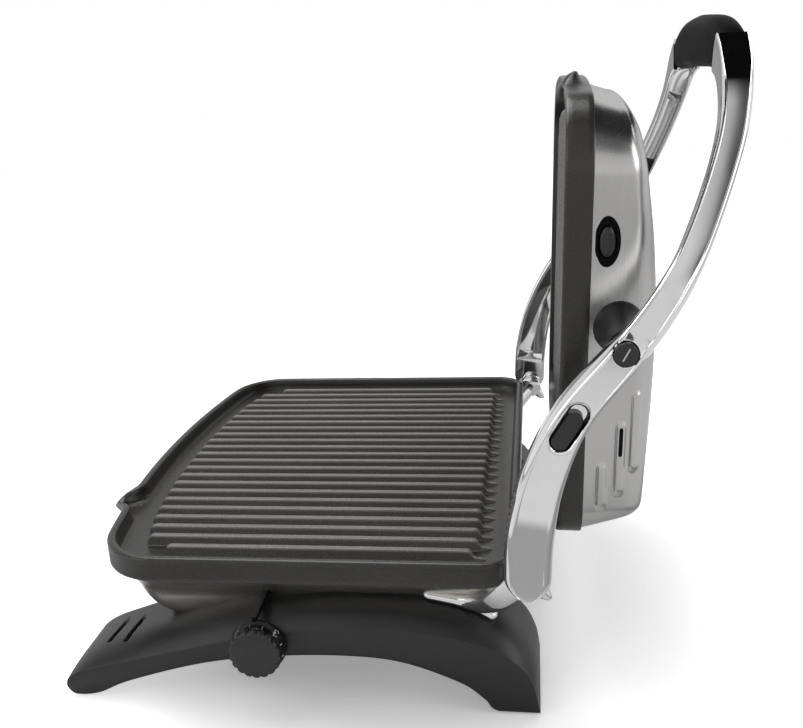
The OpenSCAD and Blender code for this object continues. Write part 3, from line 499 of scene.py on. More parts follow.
def ribs(size):
    """One stack for each rib: the section is scaled at each station and ends in a foot.

    The front ends follow the bowed edge, a circle's arc, and draw back towards the corners
    with the sixth power of the distance from the middle."""
    each_side = int((size[0] / 2 - RIB_SIDE - RIB_PITCH) // RIB_PITCH)
    number = np.arange(-each_side, each_side + 1)
    x = number * RIB_PITCH
    shorten = np.where(np.abs(number) == each_side, LAST_RIB_SHORTER, 0)
    bow = FRONT_R - size[1] - np.sqrt(FRONT_R ** 2 - x ** 2)
    front = bow + RIB_FRONT_GAP + shorten + CORNER_PULL * (x / PULL_WIDTH) ** 6
    rear = -RIB_REAR_GAP - 0.3 * shorten
    station = np.concatenate([front[:, None] + RIB_FRONT[:, 0], rear[:, None] + RIB_REAR[:, 0]], 1)
    high, wide = np.concatenate([RIB_FRONT[:, 1:], RIB_REAR[:, 1:]]).T[..., None]
    across = np.concatenate([RIB_SECTION[:, 0], -RIB_SECTION[::-1, 0]]) * wide
    height = FLOOR + RIB_H * np.concatenate([RIB_SECTION[:, 1], RIB_SECTION[::-1, 1]]) * high
    return [np.stack([x[i] + across, station[i][:, None] + 0 * across, height], -1)
            for i in range(len(x))]


# %% Place the lower plate, and swing the upper one open
HINGE_Y, HINGE_Z, OPEN = 75, 85.5, np.radians(91.5)
CLOSED_Y, CLOSED_Z = 69, 99


def opened(stack):
    """From the closed lid's own frame, rear edge at 0, to its place with the lid open."""
    y, z = stack[..., 1] + CLOSED_Y - HINGE_Y, stack[..., 2] + CLOSED_Z - HINGE_Z
    return np.stack([stack[..., 0], HINGE_Y + y * np.cos(OPEN) + z * np.sin(OPEN),
                     HINGE_Z - y * np.sin(OPEN) + z * np.cos(OPEN)], -1)


lower_place, face_down = np.array([0, PLATE_REAR, RIM_Z]), (1, 1, -1)
build("lower_cast_plate", [plate_body(LOWER, spout_x=76, spout_out=10) + lower_place],
      "base", plate_rim, ("lower_plate",))
build("lower_ribs", [rib + lower_place for rib in ribs(LOWER)], "base", non_stick)
build("upper_cast_plate", [opened(plate_body(UPPER, spout_x=62, spout_out=6) * face_down)],
      "lid", plate_rim, ("upper_plate",))
build("upper_ribs", [opened(rib * face_down) for rib in ribs(UPPER)], "lid", non_stick)

# %% [markdown]
# ## The lid's pressed shell
# The lid's housing is one sheet of steel, pressed into a shallow dome. Its rings keep the
# plate's outline and are drawn in while they climb, so wall and roof stay one smooth skin. A
# mask pushes three louvres out of each side, and presses in a pocket for the button's bezel.

# %% The shell's measures
# Each row: share of the crown's height, then the insets of the sides, the rear and the front
SHELL = np.array([
    (0, 1.2, 2, 3.5), (0.27, 2.6, 5, 6), (0.56, 4, 9, 8), (0.74, 5.4, 12, 9), (0.87, 8, 15, 12.5),
    (0.95, 11.5, 19, 17), (0.985, 16, 24, 23)])
# Each row: distance from the rear edge, and how much the crown changes there
CROWN = np.array([
    (0, -3), (40, -1.5), (81, 0), (120, 0), (157, -2.5), (190, -7), (205, -9.5), (238, -15)])
CROWN_H, ROOF_BOW = 50, 90
# Each louvre's height on the side, and where it starts and ends from the rear edge
LOUVRES = ((23, 22, 44), (32, 30, 67), (39.5, 43, 83))
LOUVRE_OUT, LOUVRE_W, LOUVRE_EDGE = 1.4, 4.5, 1.1
BUTTON = (123.4, -162.5, 21.2)
POCKET_DEPTH, POCKET_L, POCKET_W, POCKET_EDGE = 7, 17.5, 9.6, 0.8
print("lid crown above the plate's face:", CROWN_H, "mm")


# %% The shell
def lid_shell():
    """Rings drawn in from the outline while they climb to the crown.

    Each ring has a share of the crown's height; its inset blends a value for the sides with
    one for the ends by the squares of the outline's direction. The roof's rings shrink
    towards the middle, and the roof falls with the square of the distance from it."""
    edge, normal = outline(UPPER, fine=20, sides=120)
    share, side, rear, front = curve(SHELL, 16).T[..., None]
    ends = np.where(normal[:, 1] > 0, rear, front)
    inset = side * normal[:, 0] ** 2 + ends * normal[:, 1] ** 2
    wall = edge - normal * inset[..., None]
    shrink = np.linspace(0.975, 0.02, 20)[:, None]
    middle = np.array([0, -UPPER[1] / 2])
    roof = middle + (wall[-1] - middle) * shrink[..., None]
    flat = np.concatenate([wall, roof])
    share = np.concatenate([share, 1 - 0.015 * np.clip((shrink - 0.7) / 0.3, 0, 1) ** 2])
    crown = CROWN_H - PLATE_H + np.interp(-flat[..., 1], *curve(CROWN, 8).T)
    height = PLATE_H + crown * share
    height -= smooth((share - 0.4) / 0.6) * (flat[..., 0] / ROOF_BOW) ** 2
    bulge = np.zeros(flat.shape[:2])
    for level, start, end in LOUVRES:
        lengthwise, above = -flat[..., 1] - (start + end) / 2, height - level
        bulge += LOUVRE_OUT * pill(lengthwise, above, end - start + 3, LOUVRE_W, LOUVRE_EDGE)
    bulge -= POCKET_DEPTH * pill(
        BUTTON[1] - flat[..., 1], height - BUTTON[2], POCKET_L, POCKET_W, POCKET_EDGE)
    flat[..., 0] += np.sign(flat[..., 0]) * bulge * (np.abs(normal[:, 0]) > 0.97)
    return np.concatenate([flat, height[..., None]], -1)


shell = lid_shell()
build("lid_shell", [opened(shell)], "lid", stainless, ("lid_housing",), crease=70)

# %% [markdown]
# ## The handle
# Two chromed arms and a black grip form one bow that lifts the lid. Its middle line runs from
# the hinge past the lid's pivot to the grip. The arm's outer face is a flat panel between two
# rounded shoulders, and its inner side is hollow. The shoulders decide how chrome mirrors the
# room, so they are rings of points, and no bevel rounds them afterwards.

# %% The handle's middle line
# Each row: X, Y, Z, width and thickness of the section there
HANDLE = np.array([
    (162.5, 74, 93, 24, 12.5), (162.5, 75.5, 116, 24, 12.5), (162.5, 82, 146, 22, 12.5),
    (162.5, 95.5, 177, 18.8, 12.5), (162.5, 118, 206, 17, 12.5), (159.5, 127.5, 216, 16, 12.4),
    (150, 140, 231, 15, 12.2), (137, 152, 249, 14, 12), (121, 166, 283, 13.5, 12),
    (107, 173.5, 309, 14.2, 13), (84, 176.5, 332, 16, 17), (48, 177, 342, 17, 25),
    (0, 177, 344, 17, 28)])
JOINT, MIDDLE = 10.4, 12  # knot numbers where the grip begins, and of its middle
PIVOT, SLOT = (119.77, 209.87), (94.5, 174)  # Y and Z
SLOT_AHEAD = (0.522, 0.853)


def stations(where):
    """Centres, outward and rearward directions, half widths and half thicknesses."""
    line = along(HANDLE, where)
    ahead = (along(HANDLE, where + 0.02) - along(HANDLE, where - 0.02))[:, :3]
    ahead /= np.linalg.norm(ahead, axis=1, keepdims=True)
    outward = np.stack([ahead[:, 2], 0 * where, -ahead[:, 0]], 1)
    outward /= np.linalg.norm(outward, axis=1, keepdims=True)
    return line[:, :3], outward, np.cross(ahead, outward), line[:, 3] / 2, line[:, 4] / 2


steps = np.diff(stations(np.linspace(0, JOINT, 200))[0], axis=0)
print("arm's middle line:", round(float(np.linalg.norm(steps, axis=1).sum())), "mm long")

# %% The arm's section
WALL, LIP, PANEL_DROP = 2.6, 0.4, 0.28


def arm_section(half_w, half_t, hollow):
    """Offsets of a section's points: rearward and outward, one row for each station.

    Half the section runs from the hollow round the wall and the shoulder, a quarter of an
    ellipse, to the panel; the other half mirrors it."""
    half_w, half_t, hollow = half_w[:, None], half_t[:, None], hollow[:, None]
    wall = np.minimum(WALL, half_w * 0.4)
    inner = half_w - wall
    lip = np.minimum(LIP, hollow)
    low = [(0 * half_w, hollow - half_t), (inner - 0.2 * wall, hollow - half_t),
           (inner, 0.85 * hollow - half_t), (inner + 0.1 * wall, lip - half_t),
           (inner + 0.3 * wall, -half_t), (half_w - 0.3 * wall, -half_t),
           (half_w - 0.05 * wall, 0.7 - half_t), (half_w, 2 - half_t)]
    bend = np.radians(np.linspace(0, 90, 9))
    turn = 0.32 * half_w * (1 - 0.6 * smooth((half_t - 6.3) / 2))
    shoulder = (half_w - turn + turn * np.cos(bend), 0.1 * half_t + 0.9 * half_t * np.sin(bend))
    share = np.linspace(0.96, 0, 18)
    panel = ((half_w - turn) * share, half_t - PANEL_DROP * (0.94 + 0.06 * share ** 2))
    u = np.hstack([p[0] for p in low] + [shoulder[0], panel[0]])
    v = np.hstack([p[1] for p in low] + [shoulder[1], panel[1]])
    return np.hstack([u, -u[:, -2:0:-1]]), np.hstack([v, v[:, -2:0:-1]])


# %% The arms
END_RINGS, END_R = 30, 12
# Dents in the panel: length, width and edge of each pill shape, then its depth
SEAT, OPENING, BEVEL = (11.8, 11.8, 0.35, 0.8), (25.4, 10, 0.7, 3.1), (27.4, 12, 1.2, 0.5)


def arm(slotted):
    """Carries the section along the middle line, from a rounded end up to the grip."""
    where = np.union1d(np.linspace(0, JOINT, 157), np.linspace(2.3, 4.6, 180))
    centre, outward, rearward, half_w, half_t = stations(where)
    fall = np.radians(np.linspace(88.5, 3, END_RINGS))
    end = centre[0] - np.stack([0 * fall, 0 * fall, END_R * np.sin(fall)], 1)
    centre = np.vstack([end, centre])
    outward, rearward = (
        np.vstack([np.repeat(v[:1], END_RINGS, 0), v]) for v in (outward, rearward))
    half_w = np.append(END_R * np.cos(fall), half_w)
    half_t = np.append(np.repeat(half_t[0], END_RINGS), half_t)
    where = np.append(np.zeros(END_RINGS), where)
    hollow = 1.1 * smooth((where - 0.6) / 0.3) + 2.4 * smooth((where - 5) / 1.5)
    u, v = arm_section(half_w, half_t, hollow)
    rings = centre[:, None] + rearward[:, None] * u[..., None] + outward[:, None] * v[..., None]
    panel = v > 0.6 * half_t[:, None]
    dent = SEAT[3] * pill(rings[..., 1] - PIVOT[0], rings[..., 2] - PIVOT[1], *SEAT[:3])
    if slotted:
        y, z = rings[..., 1] - SLOT[0], rings[..., 2] - SLOT[1]
        lengthwise = SLOT_AHEAD[0] * y + SLOT_AHEAD[1] * z
        across = SLOT_AHEAD[1] * y - SLOT_AHEAD[0] * z
        for *shape, deep in (OPENING, BEVEL):
            dent += deep * pill(lengthwise, across, *shape)
    return rings - outward[:, None] * (dent * panel)[..., None]


build("chrome_arm_right", [arm(True)], "handle", chrome, ("arm_right",), crease=60)
build("chrome_arm_left", [arm(False) * (-1, 1, 1)], "handle", chrome, ("arm_left",),
      crease=60)


# %% The grip
def grip_bow():
    """A rounded section carried from the right joint across the middle to the left one."""
    where = np.linspace(JOINT, MIDDLE, 50)
    centre, outward, rearward, half_w, half_t = stations(where)
    ease = 1 - 0.12 * np.exp(-np.arange(len(where)) / 1.5)
    u, v = rounded(40, 0.62)
    right = (centre[:, None] + rearward[:, None] * (u * (half_w * ease)[:, None])[..., None]
             + outward[:, None] * (v * (half_t * ease)[:, None])[..., None])
    return np.concatenate([right, right[-2::-1] * (-1, 1, 1)])


build("handle_grip", [grip_bow()], "handle", grip_plastic, ("grip",))

# %% [markdown]
# ## The base
# The base is one black moulding: two legs and a pedestal between them. Each leg is a bridge
# with one curve for its top, a lower one for its outer edge and one for the arch below. Rings
# across the leg blend those three curves, so its top slopes down softly to the outer side. A
# flat outline, extruded and bevelled, would keep the same slope everywhere.

# %% The curves of a leg
# Side views, front to back: Y and Z at each knot
LEG_TOP = np.array([
    (-191.2, 8.5), (-189, 15.5), (-179, 23), (-160, 30.5), (-118, 45), (-70, 57), (-20, 62),
    (25, 59), (55, 51), (70, 40), (77.5, 26), (80, 12)])
LEG_OUTER = np.array([
    (-191.4, 8), (-189.4, 13), (-179.5, 18.5), (-160, 24), (-118, 34.5), (-70, 46.5),
    (-20, 51.5), (25, 48.5), (54, 41), (68.5, 31.5), (76, 20), (78.5, 10)])
LEG_ARCH = np.array([
    (-190.8, 6), (-186.5, 1.6), (-172, 3), (-152, 12), (-109, 25), (-70, 31), (-28, 33),
    (5, 30), (37, 18), (50, 8), (57, 1.2), (80, 1.2)])
LEG_X, SLOPE, SLOPE_W = 150, 2.6, 24
FOOT_Z = 1.2
# Two slanted slots in the foot: their middles, and their shape
MARKS, MARK_TURN = ((123, -168.4), (127, -156)), -8.5
MARK_L, MARK_W, MARK_EDGE, MARK_DEPTH = 22, 2.8, 0.45, 3.5


def slid(inset):
    """How far a point has slid from the top curve (0) to the outer curve (about 1)."""
    return 1.1 * np.clip(1 - inset / SLOPE_W, 0, 1) ** SLOPE


print("leg from", LEG_TOP[0, 0], "to", LEG_TOP[-1, 0], "mm, top at", LEG_TOP[:, 1].max(), "mm")


# %% The legs
def leg():
    """Rings across the right leg, one for each station along it.

    A point's inset from the outer face decides how far it has slid from the top curve to
    the outer curve: by a power of its share of the slope's width."""
    where = np.union1d(np.linspace(0, 11, 111), np.linspace(1.9, 3.7, 80))
    top, outer, arch = (along(line, where)[:, None] for line in (LEG_TOP, LEG_OUTER, LEG_ARCH))
    arch = np.maximum(arch, (-1e3, FOOT_Z))
    inset = np.concatenate([
        [48.6], np.linspace(46, 34, 7), np.linspace(33, 6, 34), (4.6, 3.2, 2, 1.1, 0.5, 0.15)])
    share = slid(inset)[:, None]
    over = top * (1 - share) + outer * share
    rim = outer + 0.1 * (outer - top)
    face = [rim * (1 - k) + arch * k for k in (0.12, 0.5, 0.88, 0.97)]
    lift = np.array((0, 1.2))
    below = [arch, arch, arch + lift, arch + lift, arch, arch, top * 0.06 + arch * 0.94]
    sides = [top * 0.94 + arch * 0.06, top * 0.985 + arch * 0.015]
    side_view = np.concatenate([over] + face + below + sides, 1)
    x = np.concatenate([inset, (0, 0, 0, 0.35), (1.5, 8, 8.3, 46.7, 47, 50, 50), (50, 49.5)])
    rings = np.concatenate([LEG_X - x[None, :, None] + 0 * side_view[..., :1], side_view], -1)
    c, s = np.cos(np.radians(MARK_TURN)), np.sin(np.radians(MARK_TURN))
    for x, y in MARKS:
        dx, dy = rings[..., 0] - x, rings[..., 1] - y
        mark = pill(c * dx + s * dy, c * dy - s * dx, MARK_L, MARK_W, MARK_EDGE)
        rings[..., 2] -= MARK_DEPTH * mark * (np.arange(rings.shape[1]) < len(inset))
    return rings


# %% The pedestal between the legs
PEDESTAL_W, PEDESTAL_L, PEDESTAL_R, PEDESTAL_Y = 224, 170, 22, -33


def rounded_box(width, length, radius, points=16):
    """Ring of a rectangle with round corners, about its middle: four quarter circles."""
    angle = np.radians(np.linspace(0, 90, points))
    x = np.cos(angle) * radius + width / 2 - radius
    y = np.sin(angle) * radius + length / 2 - radius
    return np.stack([np.concatenate([x, -x[::-1], -x, x[::-1]]),
                     np.concatenate([y, y[::-1], -y, -y[::-1]])], 1)


def pedestal():
    """Rounded boxes stacked up; they grow by a soft shoulder where they meet the legs."""
    height = np.array([39, 42, 50, 53.5, 54, 55, 56.5, 58, 59.5, 61, 62.5, 64, 66])
    grow = np.where(height < 54, 0, 10 * (1 - smooth((height - 54.5) / 9)))
    rings = [np.column_stack([
        rounded_box(PEDESTAL_W + 2 * g, PEDESTAL_L + 2 * g, PEDESTAL_R + g), np.full(64, z)])
        for g, z in zip(grow, height)]
    return np.array(rings) + (0, PEDESTAL_Y, 0)


build("base_moulding", both_sides(leg()) + [pedestal()], "base", base_plastic,
      ("base_stand",), crease=60)

# %% [markdown]
# ## The bowl
# A polished bowl hangs under the lower plate and hides its heater. It keeps the plate's outline
# and tucks in towards the pedestal, more at the sides than at the front.

# %% The bowl under the lower plate
# Each row: inset of the sides, inset of the front and rear, height
BOWL = np.array([
    (7, 7, 79), (10, 8, 74), (14.5, 9.5, 69), (19.5, 11.5, 64.5), (24, 13, 60.5),
    (26.5, 14.8, 56), (27.5, 17, 52), (28.5, 20, 48), (30, 25, 43.5), (33, 31, 40),
    (40, 40, 38.5)])


def bowl():
    """The plate's outline drawn in while it goes down to the pedestal.

    The inset blends a value for the sides with one for the front and the rear by the
    squares of the outline's direction."""
    edge, normal = outline(LOWER, fine=16, sides=12)
    side, end, height = curve(BOWL, 4).T[..., None]
    inset = side * normal[:, 0] ** 2 + end * normal[:, 1] ** 2
    rings = np.zeros((*inset.shape, 3))
    rings[..., :2] = edge - normal * inset[..., None]
    rings[..., 2] = height
    return rings + (0, PLATE_REAR, 0)


build("housing_bowl", [bowl()], "base", polished_steel, ("lower_housing",))

# %% [markdown]
# ## The hinge brackets
# A wishbone foot lies on each leg, and its strap swings up and out to the hinge knuckle. They
# are castings with soft edges, so bars of rounded section are swept along short curves. They
# run into one another as the real metal does, which saves joining them.

# %% Hinge brackets
ROOT_X, ROOT_Y = 132, 43


def leg_height(y, inset):
    """Height of the leg's upper side at one place: its two curves, blended."""
    share = slid(inset)
    top, outer = (np.interp(y, *curve(line, 8).T) for line in (LEG_TOP, LEG_OUTER))
    return top * (1 - share) + outer * share


def finger(tip_x, tip_y):
    """A flattened bar on the leg, from a round tip to the wishbone's root."""
    t = np.linspace(0, 1, 24)
    x, y = tip_x + (ROOT_X - tip_x) * t, tip_y + (ROOT_Y - tip_y) * t
    line = np.stack([x, y, leg_height(y, LEG_X - x) + 2.3 + 0.8 * t], 1)
    ease = np.sqrt(1 - (1 - np.clip(t * 6, 0.01, 1)) ** 2)
    return sweep(line, (7.5 + 3 * t) * ease, (5.6 + 1.2 * t) * ease, (0.9, 0.3, 0), power=0.85)


strap_line = curve([(131.5, 33, 60), (134, 42, 60), (139, 50.5, 62.5), (144, 58, 68.5),
                    (148, 65, 76.5), (151, 71, 84.5)], 6)
t = np.linspace(0, 1, len(strap_line))
width, thick = (np.interp(t, (0, 0.25, 0.6, 1), sizes)
                for sizes in ((7, 8.5, 9, 9), (5, 9, 14, 17)))
strap = sweep(strap_line, width, thick, (1, 0, 0))
knuckle = lathe([(2, 0), (7, 0), (7.8, 0.5), (8, 1.2), (8, 7.6), (7.6, 8.5), (6.8, 8.9), (2, 8.9)],
                (147, HINGE_Y, HINGE_Z), 48)
lug_line = [(153, 77, 84), (153, 80, 80.5), (153, 83, 77), (153, 85.4, 74.6)]
lug = sweep(lug_line, (7.5, 7.5, 7, 4), (11, 9, 6, 2.5), (1, 0, 0), power=0.8)
build("hinge_wishbones", both_sides(finger(131, 16), finger(136, 57), strap, knuckle, lug),
      "base", chrome, ("hinge_bracket_left", "hinge_bracket_right"))

# %% [markdown]
# ## The lid's pivots
# The lid floats between the arms: a flared boss on each side reaches out to the arm, and a cap
# with a bright mark covers the pin there. All are turned pieces, so a lathe makes them.

# %% Pivot bosses and caps
FLARE = curve([(13.6, 8), (13.6, 12.5), (13.2, 14.2), (11.6, 16.5), (9.9, 20), (8.4, 24),
               (7.1, 28.5), (6.5, 33), (6.5, 44.2)], 4)
boss = lathe(np.vstack([[(1, 8)], FLARE, [(1, 44.2)]]), (108, -119.5, 28), 64)
build("pivot_bosses", [opened(stack) for stack in both_sides(boss)], "lid", dial_plastic,
      ("pivot_boss_left", "pivot_boss_right"))
cap_profile = [(1, -1.4), (5.4, -1.4), (5.4, 0.3), (5.2, 0.65), (4.7, 0.85), (3, 1.0), (0.4, 1.05)]
cap = lathe(cap_profile, (168.55, *PIVOT), 48)
groove = sweep([(169.6, PIVOT[0] + 1.6 * t, PIVOT[1] + 2.9 * t) for t in (-1, -0.5, 0, 0.5, 1)],
               np.full(5, 0.7), np.full(5, 0.35), (0, 0.88, -0.48), points=8)
build("pivot_marks", both_sides(groove), "handle", plain_steel)
build("pivot_caps", both_sides(cap), "handle", dial_plastic,
      ("pivot_cap_left", "pivot_cap_right"))


# %% [markdown]
# ## The dial
# The dial sets the heat. It has a glossy skirt with a printed scale, and a fluted cap for the
# fingers. The flutes are cosines taken off the cap's radius, which gives softer grooves than
# cutting them. The print is thin raised line work, so it is real geometry too.

# %% The dial
DIAL, FLUTES = (150.4, -73, 40), 18
CONE = np.array([(15.6, 2.4), (15.2, 4.2), (14.6, 6), (13.9, 7.4)])  # radius and reach
skirt = lathe([(3, 0), (14.9, 0), (15.5, 0.4), (15.7, 1.2), *CONE, (3, 7.6)], DIAL, 96)
knob = np.array([(13.4, 7), (14.4, 7.3), (14.7, 8), (14.7, 9.5), (14.5, 10.6), (14, 11.2),
                 (13.2, 11.6), (11, 11.9), (7, 12), (0.5, 12.1)])
cap = lathe(knob, DIAL, 12 * FLUTES)
angle = np.linspace(0, 2 * np.pi, 12 * FLUTES, endpoint=False)
depth = np.interp(knob[:, 0], (11, 13.2, 14.4), (0, 0.5, 1.0))[:, None]
flute = (0.5 + 0.5 * np.cos(FLUTES * angle)) ** 3 * depth
cap[..., 1:] -= np.stack([np.cos(angle), np.sin(angle)], 1) * flute[..., None]
build("dial_skirt", [skirt], "dial", gloss_black, ("dial_knob",))
build("dial_cap", [cap], "dial", dial_plastic)


# %% The scale printed on the skirt
THREE = curve([(-3, 0.9), (-2.2, 0.2), (-0.6, 0), (1.2, 0.3), (1.8, 1.1), (0.9, 1.75),
               (-0.6, 1.9), (1.1, 2.1), (2.1, 2.9), (1.3, 3.7), (-0.6, 4), (-2.2, 3.7),
               (-3, 3)], 3)
FIRST_TICK, TICK_STEP, TICKS, PRINT_T = -102, 28, 8, 0.16


def on_skirt(turned, reach):
    """Points on the skirt's cone: turned in degrees from the top towards the front, and how
    far along the axis. They lie a hair above the surface."""
    turned, radius = np.radians(turned), 0.12 + np.interp(reach, CONE[:, 1], CONE[:, 0])
    return np.stack([DIAL[0] + reach + 0 * turned, DIAL[1] - radius * np.sin(turned),
                     DIAL[2] + radius * np.cos(turned)], -1)


t = np.linspace(0, 1, 6)
prints = [sweep(on_skirt(FIRST_TICK + TICK_STEP * tick + 0 * t, 5.3 + 1.6 * t), 0.5 + 0 * t,
                PRINT_T + 0 * t, (0, 0, 1), points=6) for tick in range(TICKS)]
figure = on_skirt(-48 + 2.0 * THREE[:, 0], 6.3 - 0.88 * THREE[:, 1])
prints.append(sweep(figure, np.full(len(figure), 0.46), np.full(len(figure), PRINT_T),
                    (0.4, -0.7, 0.7), points=8))
build("dial_print", prints, "dial", ceramic)

# %% The pointer over the dial
t = np.linspace(0, 1, 12)
line = np.stack([151.6 - 32 * t, -74.2 + 2.6 * t, 56 + 6 * t + 1.5 * t * t], 1)
build("dial_mark", [sweep(line, 2.6 + 2 * t, 3 + 6 * t, (0, 1, 0), power=0.45)],
      "base", gloss_black, ("dial_pointer",))


# %% [markdown]
# ## The button, the slider and the vent
# The release button sits in an oval bezel in the lid's side, and the slider in the right arm's
# slot. Both are ovals or pills with rounded edges, stacked outward from the same few rows, as
# a bevelled cylinder would be. The vent's opening is painted shade: a black inlay on the middle
# louvre stands in for the dark inside of the slot.

# %% Pill-shaped pieces
def pill_stack(length, width, profile, place, ahead, outward, points=32, oval=False):
    """Pill or oval outlines stacked outward: each row of the profile is an inset and a height.

    A pill is two half circles, set apart by half of length less width; an oval is one circle
    stretched to the length."""
    half = np.radians(np.linspace(-90, 90, points // 2))
    inset, height = np.asarray(profile, float).T[..., None]
    radius = np.maximum(width / 2 - inset, 0.02)
    straight = (length - width) / 2 * (not oval)
    reach = radius * length / width if oval else radius
    u = np.concatenate([straight + reach * np.cos(half), -straight - reach * np.cos(half)], 1)
    v = np.concatenate([radius * np.sin(half), -radius * np.sin(half)], 1)
    ahead, outward = np.asarray(ahead, float), np.asarray(outward, float)
    across = np.cross(outward, ahead)
    return (np.asarray(place, float) + u[..., None] * ahead + v[..., None] * across
            + (height + 0 * u)[..., None] * outward)


# %% The release button in its bezel
REAR, UP, OUT = (0, 1, 0), (0, 0, 1), (1, 0, 0)
bezel_profile = [(2.3, -9), (0, -9), (0, -0.4), (0.25, -0.1), (0.8, 0.1), (1.8, 0.05),
                 (2.2, -0.15), (2.3, -8.8)]
bezel = pill_stack(25, 13, bezel_profile, BUTTON, REAR, OUT, 64, oval=True)
build("button_ring", [opened(bezel)], "lid", grip_plastic, ("button_bezel",))
button_profile = [(2, -4), (0, -4), (0, 0.5), (0.3, 1.0), (1, 1.5), (2.2, 1.9), (3.4, 2.0)]
button = [pill_stack(15, 7.6, button_profile, BUTTON, REAR, OUT, 48, oval=True)]
for offset in (-4, -2, 0, 2, 4):
    button.append(pill_stack(5.4, 0.9, [(0, 1.2), (0, 1.9), (0.2, 2.05)],
                             (BUTTON[0], BUTTON[1] + offset, BUTTON[2]), UP, OUT, 12))
build("button_oval", [opened(stack) for stack in button], "button", dial_plastic,
      ("release_button",))

# %% The slider, with a scoop for the thumb
slider_profile = [(1, -3.9), (0, -3.8), (0, -1.3), (0.3, -0.95), (0.8, -0.85), (1.4, -0.9),
                  (2, -0.95), (2.6, -1), (3.2, -1.05), (4.1, -1.1)]
SCOOP_DEPTH, SCOOP_FROM, SCOOP_TO, SCOOP_EDGE, FACE = 1.1, 1.5, 8.6, 2, 3
slider = pill_stack(21, 8.3, slider_profile, (168.75, SLOT[0] - 1.1, SLOT[1] - 1.8),
                    (0, *SLOT_AHEAD), OUT, 96)
up = (slider[..., 1] - SLOT[0]) * SLOT_AHEAD[0] + (slider[..., 2] - SLOT[1]) * SLOT_AHEAD[1]
scoop = smooth((up - SCOOP_FROM) / SCOOP_EDGE) * smooth((SCOOP_TO - up) / SCOOP_EDGE)
slider[FACE:, :, 0] -= SCOOP_DEPTH * scoop[FACE:]
build("slider_button", [slider], "slider", dial_plastic, ("slot_slider",))

# %% Painted shade: a black inlay for the dark opening in the middle louvre of each side
level, _, louvre_end = LOUVRES[1]
vent_y = 9 - louvre_end
right_wall = shell.reshape(-1, 3)[shell.reshape(-1, 3)[:, 0] > 0]
nearest = np.argmin(np.hypot(right_wall[:, 1] - vent_y, right_wall[:, 2] - level))
vent = pill_stack(16, 2.2, [(0.9, -1), (0, -1), (0, 0.05), (0.3, 0.15), (0.9, 0.15)],
                  (right_wall[nearest, 0], vent_y, level), REAR, OUT)
build("vent_painted_shade", [opened(stack) for stack in both_sides(vent)], "lid", grip_plastic)

# %% [markdown]
# ## The studio
# The camera sees a white floor and a white sky. Bright metal needs something to mirror, so
# glossy rays see a room that is graded by direction: pale, a little dimmer overhead, dark low
# on the far side, and with dark flags high up at the rear and on the far side. Rough surfaces
# get an even fill, stronger from the far side.

# %% Floor
FLOOR_HALF = 3.0
floor_mesh = bpy.data.meshes.new("floor")
floor_mesh.from_pydata(
    [(-FLOOR_HALF, -FLOOR_HALF, 0), (FLOOR_HALF, -FLOOR_HALF, 0),
     (FLOOR_HALF, FLOOR_HALF, 0), (-FLOOR_HALF, FLOOR_HALF, 0)], [], [(0, 1, 2, 3)])
floor = bpy.data.objects.new("floor", floor_mesh)
bpy.context.scene.collection.objects.link(floor)
white = Shader("floor_white")
stretched = white.node("ShaderNodeVectorMath", {"operation": "MULTIPLY"},
                       {0: white.place(), 1: (1, 1.3, 1)}, output="Vector")
distance = white.node("ShaderNodeVectorMath", {"operation": "LENGTH"}, {0: stretched},
                      output="Value")
# Painted light: the floor glows to the camera only, more the farther it is from the grill, so the
# floor and the shadows on it turn white away from the base, and the shade near the base stays.
painted_floor_glow = white.steps(distance, (0.16, 0.28), (0.25, 0.60), (0.5, 0.95))
# Painted shade in reflections: in a band round the grill the floor turns from 0.90 to 0.44 grey,
# but only where a glossy ray sees it, so the chrome mirrors a darker floor there.
ring = white.steps(distance, (0.30, 0.0), (0.32, 1.0), (0.415, 1.0), (0.43, 0.0))
by_camera, by_mirror = (
    white.node("ShaderNodeLightPath", output=f"Is {ray} Ray") for ray in ("Camera", "Glossy"))
wear(floor, white.finish(
    Base_Color=white.blend(by_mirror * ring, grey(0.90), grey(0.44)), Roughness=0.7,
    Emission_Strength=1.0, Emission_Color=white.blend(by_camera, grey(0.0), painted_floor_glow)))
print("floor:", 2 * FLOOR_HALF, "m wide")

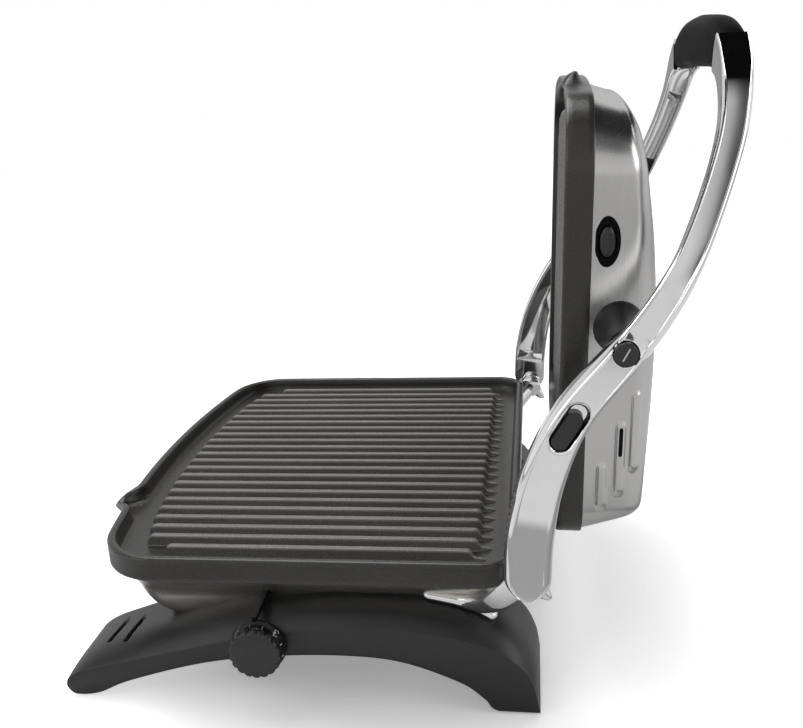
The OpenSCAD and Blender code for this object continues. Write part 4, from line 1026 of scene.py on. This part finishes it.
# %% The sky
world = bpy.data.worlds.new("studio")
bpy.context.scene.world = world
sky = Shader("studio", world)
direction = sky.node("ShaderNodeTexCoord", output="Generated")
right, rear, upwards = (
    sky.node("ShaderNodeSeparateXYZ", sockets={"Vector": direction}, output=axis)
    for axis in "XYZ")
right, rear = right * 0.5 + 0.5, rear * 0.5 + 0.5
height_light = sky.steps(upwards, (0.0, 0.95), (0.3, 0.80), (1.0, 0.78))
horizon = sky.steps(right, (0.03, 0.35), (0.12, 1.0))
horizon = horizon + (1 - horizon) * sky.steps(upwards, (0.06, 0.0), (0.18, 1.0))
rear_flag = sky.steps(rear, (0.572, 0.0), (0.585, 0.27), (0.590, 0.42), (0.5955, 0.88))
top_flag = sky.steps(right, (0.61, 1.0), (0.69, 0.0))
flags = rear_flag + (1 - rear_flag) * top_flag
flags = flags * sky.steps(upwards, (0.45, 0.0), (0.62, 0.995))
far_side = sky.steps(right, (0.0, 1.0), (0.35, 0.0)) * sky.steps(
    upwards, (0.0, 0.3), (0.15, 1.0), (0.5, 1.0), (0.8, 0.0))
by_camera, by_mirror = (
    sky.node("ShaderNodeLightPath", output=f"Is {ray} Ray") for ray in ("Camera", "Glossy"))
room = sky.blend(by_mirror, 0.27 + far_side * 0.9, height_light * horizon * (1 - flags))
background = sky.node("ShaderNodeBackground", sockets={
    "Color": sky.blend(by_camera, room, grey(1.0)), "Strength": 1.0})
sky.node("ShaderNodeOutputWorld", sockets={"Surface": background})
print("sky nodes:", len(sky.tree.nodes))


# %% Lamps
def lamp(name, place, aim, width, depth, power):
    """A broad rectangular lamp that looks at a point."""
    light = bpy.data.lights.new(name, "AREA")
    light.shape, light.size, light.size_y, light.energy = "RECTANGLE", width, depth, power
    holder = bpy.data.objects.new(name, light)
    gaze = Vector(aim) - Vector(place)
    holder.matrix_world = (
        Matrix.Translation(Vector(place)) @ gaze.to_track_quat("-Z", "Y").to_matrix().to_4x4())
    bpy.context.scene.collection.objects.link(holder)
    print(name, power, "W")


GRILL_MIDDLE = (0, 0, 0.12)
lamp("overhead", (-0.4, -0.4, 1.5), GRILL_MIDDLE, 1.1, 1.1, 18)
lamp("front_soft", (0.9, -1.3, 0.9), GRILL_MIDDLE, 0.8, 1.0, 3.5)
lamp("rear_soft", (0.5, 1.5, 0.9), GRILL_MIDDLE, 0.8, 1.0, 6)
